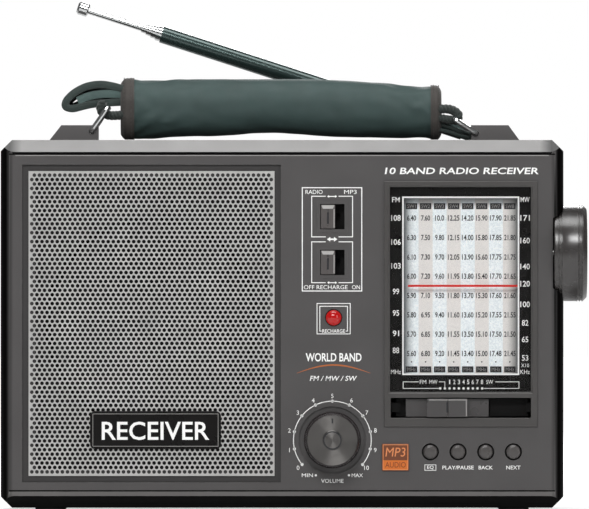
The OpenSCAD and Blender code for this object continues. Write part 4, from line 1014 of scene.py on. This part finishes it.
mode_low, mode_high = node_mm("mode_badge")
mode_ink = Ink(mode_low.y)
mode_x = (mode_low.x + mode_high.x) / 2
mode_ink.words("MP3", mode_x, 28.0, 4.2, 9.4, 0.0, lean=0.15)
mode_ink.box(mode_low.x + 0.35, mode_high.x - 0.35, mode_low.z + 0.35, mode_high.z - 0.35, 0.3)
mode_ink.done("mode_printing", mats["tan_ink"])
mode_bar = Ink(mode_low.y, 0.03)
mode_bar.bar(mode_low.x + 0.65, mode_high.x - 0.65, mode_low.z + 0.65, mode_low.z + 4.9)
mode_bar.done("mode_bar", mats["orange_bar"])
mode_words = Ink(mode_low.y - 0.03, 0.03)
mode_words.words("AUDIO", mode_x, mode_low.z + 2.8, 2.6, 9.6, 0.005)
mode_words.done("mode_bar_words", mats["brown_ink"])

for name, z in (("function", 137.5), ("recharge", 116.2)):
    frame_prism(name + "_bezel", (16.3, 30.5, z - 7.3, z + 7.3), (17.7, 29.1, z - 5.9, z + 5.9),
                FACE - 0.35, FACE + 0.02, mats["case"], corner=0.5)
    cap_low, cap_high = node_mm(name + "_switch_cap")
    # a dark bar painted on the cap as the shade in a slit; no slit is cut
    slit = Ink(cap_low.y, 0.03, 0.1)
    mid = (cap_low.x + cap_high.x) / 2
    slit.bar(mid - 0.35, mid + 0.35, z - 3.2, z + 2.0)
    slit.done(name + "_cap_painted_slit_shade", mats["dark_ink"], name + "_switch")
    # painted highlight along the cap's top and right edges
    highlight_marks = Ink(cap_low.y, 0.03, 0.1)
    highlight_marks.prism([(cap_low.x + 0.3, cap_high.z - 0.3), (cap_low.x + 1.0, cap_high.z - 1.9),
               (cap_high.x - 1.0, cap_high.z - 1.9), (cap_high.x - 0.3, cap_high.z - 0.3)])
    highlight_marks.bar(cap_high.x - 0.7, cap_high.x - 0.3, cap_low.z + 0.5, cap_high.z - 2.1)
    highlight_marks.done(name + "_cap_painted_highlight", mats["rubbed"], name + "_switch")


cap_low, cap_high = node_mm("band_slider")
# a dark bar painted on the band slider's cap as the shade in a slit; no slit is cut
notch = Ink(cap_low.y, 0.03, 0.1)
notch.bar(76.4, 77.1, 46.4, 51.2)
notch.done("band_cap_painted_slit_shade", mats["dark_ink"], "band")
# painted highlight along the band slider cap's top and right edges
highlight_marks = Ink(cap_low.y, 0.03, 0.1)
highlight_marks.bar(68.3, 85.9, cap_high.z - 0.75, cap_high.z - 0.35)
highlight_marks.bar(85.45, 85.9, cap_low.z + 0.4, cap_high.z - 0.75)
highlight_marks.done("band_cap_painted_highlight", mats["grey_ink"], "band")


# ---------------------------------------------------------------------------------- the dial

GLASS = (50.2, 115.8, 56.0, 151.3)
WINDOW = (56.1, 110.2, 64.0, 146.7)
frame_prism("dial_mask", GLASS, WINDOW, -41.58, -41.48, mats["badge"])

dial_ink = Ink(-41.58)
dial_ink.box(WINDOW[0] - 0.2, WINDOW[1] + 0.2, WINDOW[2] - 0.2, WINDOW[3] + 0.2, 0.75)
LEFT_SCALE = (("108", 136.9), ("106", 125.7), ("103", 114.6), ("99", 102.7), ("95", 92.7), ("91", 83.2),
              ("88", 75.3))
RIGHT_SCALE = (("171", 136.9), ("160", 126.4), ("140", 114.3), ("120", 106.3), ("100", 96.7), ("82", 88.1),
               ("65", 80.4), ("53", 71.8))
DIAL_WORDS = (("FM", 53.0, 145.4, 2.4, 3.6, 0.01), ("MHz", 53.0, 65.3, 2.0, 4.7),
              ("MW", 113.1, 145.4, 2.4, 4.2, 0.01),
              ("X10", 113.1, 68.3, 1.7, 3.7), ("KHz", 113.1, 65.3, 2.0, 4.4), ("FM", 65.6, 60.6, 1.9, 3.0),
              ("MW", 70.4, 60.6, 1.9, 3.8), ("SW", 96.6, 60.6, 1.9, 3.2))
DIAL_LINES = ((56.2, 63.6, 60.5, 60.8), (56.2, 56.5, 57.5, 60.5), (56.5, 73.0, 57.45, 57.75),
              (73.0, 75.9, 60.5, 60.8), (75.6, 75.9, 57.8, 60.5), (99.2, 110.4, 60.5, 60.8),
              (110.1, 110.4, 57.5, 60.5), (94.0, 110.1, 57.45, 57.75))
for row in DIAL_WORDS:
    dial_ink.words(*row)
for marks, x in ((LEFT_SCALE, 53.0), (RIGHT_SCALE, 113.1)):
    for word, z in marks:
        dial_ink.words(word, x, z, 2.7, 1.45 * len(word) + 0.1, 0.004 if word == "88" else 0.014)
for i in range(8):
    dial_ink.words(str(i + 1), 78.0 + 2.15 * i, 60.6, 2.1, 0.55 if i == 0 else 1.1, 0.005)
for i in range(10):
    dial_ink.dot(73.6 + 2.17 * i, 57.6, 0.6)
for line in DIAL_LINES:
    dial_ink.bar(*line)
dial_ink.done("dial_printing", mats["white_ink"])

COLUMN_0, COLUMN = 60.3, 6.54


def card_paint():
    """Frosted card in pale columns, cool and warm in turn, with shade painted towards its left, right and top
    edges and a faint painted glow.
    """
    s = Shader("scale_card_print_and_painted_light", rgb(226, 232, 234), 0.55)
    place = s.split(s.place)
    s.colour_from = s.mixed(s.spread(s.noise(0.7, 2.0), 0, 1), rgb(214, 222, 226), rgb(242, 247, 248))
    along = s.maths("SUBTRACT", place["X"], at(COLUMN_0 - COLUMN / 2, 0, 0).x)
    odd = s.maths("MODULO", s.maths("FLOOR", s.maths("DIVIDE", along, COLUMN * MM)), 2.0)
    s.tint(s.maths("MULTIPLY", odd, 0.7), rgb(216, 208, 202))
    # painted shade towards the left, right and top edges, where the window's rim shades the card
    for axis, edge, reach in (("X", at(56.5, 0, 0).x, 5.5), ("X", at(109.9, 0, 0).x, -5.5),
                              ("Z", at(0, 0, 146.6).z, -5.5)):
        near = s.spread(place[axis], 0.0, 1.0, edge + reach * MM, edge)
        s.tint(s.maths("POWER", near, 1.5), rgb(70, 74, 76))
    s.grain(0.3, 0.01)
    s.uneven(3, 0.06)
    # the card glows faintly in its own colours: painted light, as no lamp is behind it
    s.link(s.colour_from, s.principled.inputs["Emission Color"])
    return s.put("Emission Strength", 0.15)


soften("dial_scale", card_paint(), 0.15)
card_y = node_mm("dial_scale")[0].y
CARD_Z = (136.9, 127.8, 118.7, 109.8, 100.8, 91.8, 82.8, 73.8)
STATIONS = (
    ("6.40", "6.30", "6.10", "6.00", "5.90", "5.80", "5.70", "5.60"),
    ("7.60", "7.50", "7.30", "7.20", "7.10", "6.95", "6.85", "6.80"),
    ("10.0", "9.80", "9.70", "9.60", "9.50", "9.40", "9.30", "9.20"),
    ("12.25", "12.15", "12.05", "11.95", "11.80", "11.60", "11.55", "11.45"),
    ("14.20", "14.00", "13.90", "13.80", "13.70", "13.60", "13.50", "13.40"),
    ("15.90", "15.80", "15.60", "15.40", "15.30", "15.20", "15.10", "15.00"),
    ("17.90", "17.85", "17.75", "17.70", "17.60", "17.55", "17.50", "17.48"),
    ("21.85", "21.80", "21.75", "21.65", "21.60", "21.55", "21.50", "21.45"))
card_ink = Ink(card_y, 0.04)
plates = Ink(card_y, 0.04)
plate_words = Ink(card_y - 0.04, 0.03)
for i, column in enumerate(STATIONS):
    x = COLUMN_0 + COLUMN * i
    for word, z in zip(column, CARD_Z):
        card_ink.words(word, x, z, 2.6, 1.14 * len(word) - 0.35, 0.022)
    card_ink.dot(x, 69.9, 0.35)
    for word, z in (("SW%d" % (i + 1), 142.4), ("MHz", 66.4)):
        plates.bar(x - 2.65, x + 2.65, z - 1.4, z + 1.4)
        plate_words.words(word, x, z, 1.7, 3.9)
card_ink.done("card_numbers", mats["dark_ink"])
plates.done("card_plates", mats["dark_ink"])
plate_words.done("card_plate_words", mats["grey_ink"])


# ---------------------------------------------------------------------------------- the knobs

volume_y = node_mm("volume_knob")[0].y
knob_y = FACE + 0.6
tall = knob_y - volume_y
lathe("volume_knob_turned",
      [(0, 0), (12.9, 0), (13.2, 0.25), (13.2, 1.2), (12.95, 1.5), (12.9, 1.9), (12.75, 6),
       (12.5, tall - 1.5), (12.3, tall - 0.8), (11.9, tall - 0.15), (11.75, tall), (11.68, tall - 0.05),
       (11.66, tall - 0.9), (0, tall - 0.9)],
      at(VOLUME[0], knob_y, VOLUME[1]), (0, -1, 0), mats["glossy_black"], "volume",
      ["volume_knob"], 240, (60, 0.3, 1.85, tall - 3.2))
volume_disc_y = node_mm("volume_knob_disc")[0].y + 0.1
mark = Ink(volume_y + 0.35, 0.02, 0.1)
mark.bar(VOLUME[0] - 0.35, VOLUME[0] + 0.35, VOLUME[1] + 7.9, VOLUME[1] + 10.1)
mark.done("volume_mark", mats["dark_ink"], "volume")

lathe("volume_disc_ring", [(3.7, -0.4), (3.7, 0.06), (4.25, 0.06), (4.25, -0.4)],
      at(VOLUME[0], volume_disc_y, VOLUME[1]), (0, -1, 0), mats["dark_ink"], "volume", (), 72)
lathe("volume_disc_cap", [(0, -0.4), (3.6, -0.4), (3.6, 0.0), (3.45, 0.1), (0, 0.1)],
      at(VOLUME[0], volume_disc_y, VOLUME[1]), (0, -1, 0), mats["disc"], "volume", (), 72)

TUNING = (-27.1, 120.5)
TUNING_X = 126.6
R = 22.45


def groove(h):
    """A shallow groove round the tuning knob, from height h."""
    return [(R, h), (R - 0.45, h + 0.2), (R - 0.45, h + 0.6), (R, h + 0.8)]


lathe("tuning_knob_turned",
      [(0, 0), (R - 1.0, 0), (R - 0.15, 0.35), (R, 0.8), *groove(1.7), *groove(2.95), (R, 4.2),
       (R - 0.1, 4.6), (R - 0.1, 10.2), (R, 10.6), *groove(11.05), *groove(12.3), (R - 0.05, 13.5),
       (R - 1.6, 15.15), (R - 2.1, 15.4), (R - 5.6, 15.4), (R - 6.4, 14.9), (R - 7.2, 14.6), (0, 14.5)],
      at(TUNING_X, *TUNING), (1, 0, 0), mats["knob_gloss"], "tuning", ["tuning_knob"], 192)


# --------------------------------------------------------------------------------- the handle

HANDLE_Y = -6.0
SLEEVE_X = (-75.5, 74.5)
LEFT_TRIM, RIGHT_TRIM = 6.4, 5.0
SLEEVE_Z = (173.6, 201.6)
SLEEVE_WIDE = 12.9      # half its depth
OVAL = 0.86             # how square its section is; 1 is an ellipse
TRIM_WIDE = 13          # half the trims' depth at most
CLOTH_FRAMES = 16


def sleeve_top(x):
    """The sleeve's crest: level, then sinking towards the right."""
    t = (x - SLEEVE_X[0]) / (SLEEVE_X[1] - SLEEVE_X[0])
    return 202.1 - 3.6 * max(0.0, (t - 0.6) / 0.4) ** 1.2


def sleeve_foot(x):
    """The sleeve's underside: down on the case at its ends, lifted a little between."""
    lift = 2.2 * math.exp(-((x + 5) / 22) ** 2) + 0.5 * math.exp(-((x + 45) / 14) ** 2)
    return SLEEVE_Z[0] + 0.1 + lift


def sleeve_rings(x0, x1, steps, sides, grow=0.0, pinch=0.0):
    """Rings of a soft oval tube in case millimetres; pinch draws the two ends in."""
    rings = []
    for i in range(steps + 1):
        t = i / steps
        x = x0 + (x1 - x0) * t
        top, foot = sleeve_top(x) + grow, sleeve_foot(x) - grow
        middle, high = (top + foot) / 2, (top - foot) / 2
        wide = SLEEVE_WIDE + grow
        near = min(t, 1 - t) * (x1 - x0)
        draw = 1 - pinch * math.exp(-(near / 3.0) ** 2)
        ring = []
        for k in range(sides):
            a = 2 * math.pi * k / sides
            c, s = math.cos(a), math.sin(a)
            fold = 0.0
            if pinch:
                gathers = math.sin(k * 2 * math.pi * 9 / sides + 1.3 * math.sin(x / 5))
                waves = 0.22 * noise.noise(Vector((x / 9, c * 3, s * 3)))
                fold = waves + 0.35 * math.exp(-near / 9) * gathers
            y = HANDLE_Y + (wide * draw + fold) * math.copysign(abs(c) ** OVAL, c)
            z = middle + (high * draw + fold) * math.copysign(abs(s) ** OVAL, s)
            ring.append((x, y, max(z, SLEEVE_Z[0] + 0.05)))
        rings.append(ring)
    return rings


def tube_mesh(name, rings):
    """A closed tube with rounded ends from rings of case points."""
    sides = len(rings[0])
    verts = [at(*p) for ring in rings for p in ring]
    faces = []
    for i in range(len(rings) - 1):
        for k in range(sides):
            m = (k + 1) % sides
            faces.append((i * sides + k, i * sides + m, (i + 1) * sides + m, (i + 1) * sides + k))
    faces.append(tuple(range(sides)))
    faces.append(tuple(range((len(rings) - 1) * sides, len(rings) * sides)))
    return to_mesh(name, verts, faces)


def puffed(name, mesh, cap_mm, pin):
    """Swells a mesh by cloth pressure, with the points that pin picks held still."""
    o = bpy.data.objects.new(name, mesh)
    scene.collection.objects.link(o)
    bpy.context.view_layer.objects.active = o
    group = o.vertex_groups.new(name="held")
    group.add([v.index for v in mesh.vertices if pin(v.co)], 1.0, "REPLACE")
    before = [v.co.copy() for v in mesh.vertices]
    cloth = o.modifiers.new("cloth", "CLOTH")
    settings = cloth.settings
    settings.quality = 6
    settings.mass = 0.2
    settings.tension_stiffness = settings.compression_stiffness = 12
    settings.shear_stiffness = 6
    settings.bending_stiffness = 0.4
    settings.use_pressure = True
    settings.uniform_pressure_force = 3.0
    settings.vertex_group_mass = "held"
    settings.effector_weights.gravity = 0
    settings.shrink_min = -0.05
    cloth.collision_settings.use_self_collision = False
    cloth.point_cache.frame_start, cloth.point_cache.frame_end = 1, CLOTH_FRAMES
    for f in range(1, CLOTH_FRAMES + 1):
        scene.frame_set(f)
    swollen = o.evaluated_get(bpy.context.evaluated_depsgraph_get()).to_mesh()
    after = [v.co.copy() for v in swollen.vertices]
    o.modifiers.clear()
    scene.frame_set(1)
    floor = (SLEEVE_Z[0] + 0.05) * MM
    top, side = (SLEEVE_Z[1] + 2.6) * MM, 13.2 * MM
    centre_y = at(0, HANDLE_Y, 0).y
    for v, a, b in zip(mesh.vertices, before, after):
        step = b - a
        if step.length > cap_mm * MM:
            step *= cap_mm * MM / step.length
        p = a + step
        p.z = min(max(p.z, floor), top)
        p.y = min(max(p.y, centre_y - side), centre_y + side)
        v.co = p
    bpy.data.objects.remove(o)
    return mesh


def make_sleeve():
    x0, x1 = SLEEVE_X[0] + 0.8, SLEEVE_X[1] - 0.8
    mesh = tube_mesh("sleeve_cloth", sleeve_rings(x0, x1, 72, 56, -0.5, 0.03))
    low = at(SLEEVE_X[0] + LEFT_TRIM - 0.3, 0, 0).x
    high = at(SLEEVE_X[1] - RIGHT_TRIM + 0.3, 0, 0).x
    mesh = puffed("sleeve_simulated", mesh, 0.4, lambda p: p.x < low or p.x > high)
    o = piece("handle_sleeve_cloth", mesh, "handle", mats["sleeve"], ["handle_sleeve"], 80)
    smooth = o.modifiers.new("smooth", "SUBSURF")
    smooth.levels = smooth.render_levels = 1


def make_trim(x0, x1, outer_right):
    """A folded cloth band sewn over the sleeve's end, drawn in towards its outer edge."""
    steps = 10
    rings = []
    for i in range(steps + 1):
        t = i / steps
        x = x0 + (x1 - x0) * t
        out = t if outer_right else 1 - t
        drawn_in = 2.6 * max(0, out - 0.55) ** 2 / 0.2
        bulge = 0.35 + 0.1 * math.sin(t * 30) - drawn_in
        rings += sleeve_rings(x, x + 0.001, 1, 64, bulge)[:1]
    inner = []
    for ring in rings:
        cz = sum(p[2] for p in ring) / len(ring)
        inner.append([(ring[0][0], HANDLE_Y + (p[1] - HANDLE_Y) * 0.9, cz + (p[2] - cz) * 0.9) for p in ring])
    loops = rings + inner[::-1]
    sides = len(rings[0])
    back, front = HANDLE_Y + TRIM_WIDE, HANDLE_Y - TRIM_WIDE
    verts = [at(x, min(max(y, front), back), max(z, SLEEVE_Z[0])) for ring in loops for x, y, z in ring]
    faces = []
    for i in range(len(loops)):
        j = (i + 1) % len(loops)
        for k in range(sides):
            m = (k + 1) % sides
            faces.append((i * sides + k, i * sides + m, j * sides + m, j * sides + k))
    return verts, faces


def join_parts(name, parts):
    verts, faces = [], []
    for v, f in parts:
        start = len(verts)
        verts += v
        faces += [tuple(start + i for i in face) for face in f]
    return to_mesh(name, verts, faces)


def stitches(x, count=44, grow=0.42):
    """A ring of short threads round the sleeve at x."""
    ring = sleeve_rings(x, x + 0.001, 1, count * 2, grow)[0]
    verts, faces = [], []
    for i in range(0, count * 2, 2):
        a, b = Vector(at(*ring[i])), Vector(at(*ring[(i + 1) % len(ring)]))
        if min(a.z, b.z) < (SLEEVE_Z[0] + 0.6) * MM:
            continue
        path = [a.lerp(b, t) for t in (0.0, 0.2, 0.5, 0.8, 1.0)]
        sweep(path, round_section(0.16 * MM, 6), Vector((1, 0, 0)), verts, faces)
    return verts, faces


make_sleeve()
trim_parts = [make_trim(SLEEVE_X[0], SLEEVE_X[0] + LEFT_TRIM, False),
              make_trim(SLEEVE_X[1] - RIGHT_TRIM, SLEEVE_X[1], True)]
piece("handle_trim_bands", join_parts("handle_trim_bands", trim_parts), "handle", mats["trim"],
      ["handle_trims"], 60)
thread_parts = [stitches(x) for x in (SLEEVE_X[0] + 1.6, SLEEVE_X[0] + LEFT_TRIM - 1.4,
                                      SLEEVE_X[1] - 1.3, SLEEVE_X[1] - RIGHT_TRIM + 1.3)]
piece("handle_trim_stitches", join_parts("handle_trim_stitches", thread_parts), "handle",
      mats["thread"], (), 60)


def strap_section(width, thick):
    """A woven strap's section: flat with rounded selvedges and a rib along each."""
    w, t = width / 2 * MM, thick / 2 * MM
    half = [(-w, -t * 0.3), (-w * 0.97, -t), (-w * 0.86, -t * 1.12), (-w * 0.8, -t * 0.82),
            (w * 0.8, -t * 0.82), (w * 0.86, -t * 1.12), (w * 0.97, -t), (w, -t * 0.3)]
    return half + [(-x, -y) for x, y in half]


def strap(points, width, thick):
    """A strap through points of (x, z, roll)."""
    curve = smooth_path([(p[0], p[2] if len(p) > 2 else 0.0, p[1]) for p in points])
    path = [at(c.x, HANDLE_Y, c.z) for c in curve]
    return sweep(path, strap_section(width, thick), rolls=[c.y for c in curve])


def rope(points, radius, strands=3, turn_mm=5.0):
    """Strands laid round each other along a path of case points."""
    path = smooth_path(points, 10)
    verts, faces = [], []
    lengths = [0.0]
    for a, b in zip(path, path[1:]):
        lengths.append(lengths[-1] + (b - a).length)
    for s in range(strands):
        line = []
        for i, p in enumerate(path):
            ahead = (path[min(i + 1, len(path) - 1)] - path[max(i - 1, 0)]).normalized()
            side = Vector((0, 1, 0)) - ahead * ahead.y
            side = side.normalized() if side.length > 1e-3 else Vector((1, 0, 0))
            up = ahead.cross(side)
            a = 2 * math.pi * (lengths[i] / turn_mm + s / strands)
            q = p + (side * math.cos(a) + up * math.sin(a)) * radius * 0.5
            line.append(Vector(at(*q)))
        sweep(line, round_section(radius * 0.56 * MM, 8), Vector((0, 1, 0.01)), verts, faces)
    return verts, faces


left_web = [strap([(-73, 196.4, 3), (-79, 198.0, 4), (-85, 198.7, 5), (-91, 197.8, 5), (-96.2, 195.4, 4),
                   (-99.7, 192.5, 3), (-101.0, 190.4, 2), (-100.6, 189.0, 2), (-97.6, 188.7, 4),
                   (-93, 190.1, 6), (-88, 191.1, 6), (-80, 191.6, 5), (-73, 191.8, 4)], 18.6, 3.2),
            strap([(-73, 196.0, -6), (-79, 196.4, -6), (-86, 196.3, -5), (-91, 195.2, -4)], 15.0, 2.0)]
piece("handle_webbing_left", join_parts("handle_webbing_left", left_web), "handle",
      mats["webbing"], ["handle_ropes"], 50)
# the lighter strap inside the left loop: the webbing's broad side, painted lighter as lit
left_lining = [strap([(-73, 194.3, 2), (-79, 194.7, 2), (-85, 194.4, 3), (-90.5, 193.2, 4),
                      (-95.4, 191.2, 4)], 17.8, 3.6)]
piece("handle_lining_left", join_parts("handle_lining_left", left_lining), "handle",
      mats["lining"], (), 50)
right_web = [strap([(72, 181.6), (78, 179.8), (83, 177.6), (88.1, 176.2)], 19.6, 1.7),
             strap([(72, 178.6), (78, 177.2), (83, 175.6), (88.1, 174.6)], 19.6, 1.5)]


def crossing(name, parts, material):
    """A soft piece joined into one mesh, attached to no body, with its points baked where they stand."""
    mesh = join_parts(name, parts)
    o = piece(name, mesh, None, material, (), 50)
    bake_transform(o)
    return o


crossing("handle_webbing_right", right_web, mats["webbing"])
left_rope = [rope([(-72, y, 185.6), (-77, y, 185.0), (-81.4, y, 185.1), (-84.2, y, 186.6), (-84.8, y, 189.0),
                   (-83.2, y, 191.0)], 2.0, 3, 5.0) for y in (-16.4, -11.2, -6.0, -0.8, 4.4)]
crossing("handle_rope_left", left_rope, mats["rope"])
right_rope = [rope([(72, y, 187.4), (75.6, y, 188.0), (79.2, y, 187.6), (82.2, y, 185.6), (81.8, y, 183.0),
                    (78.2, y, 182.9), (72, y, 184.0)], 2.0, 3, 5.0) for y in (-17.0, -12.4, -7.8, -3.2, 1.4)]
crossing("handle_rope_right", right_rope, mats["rope"])
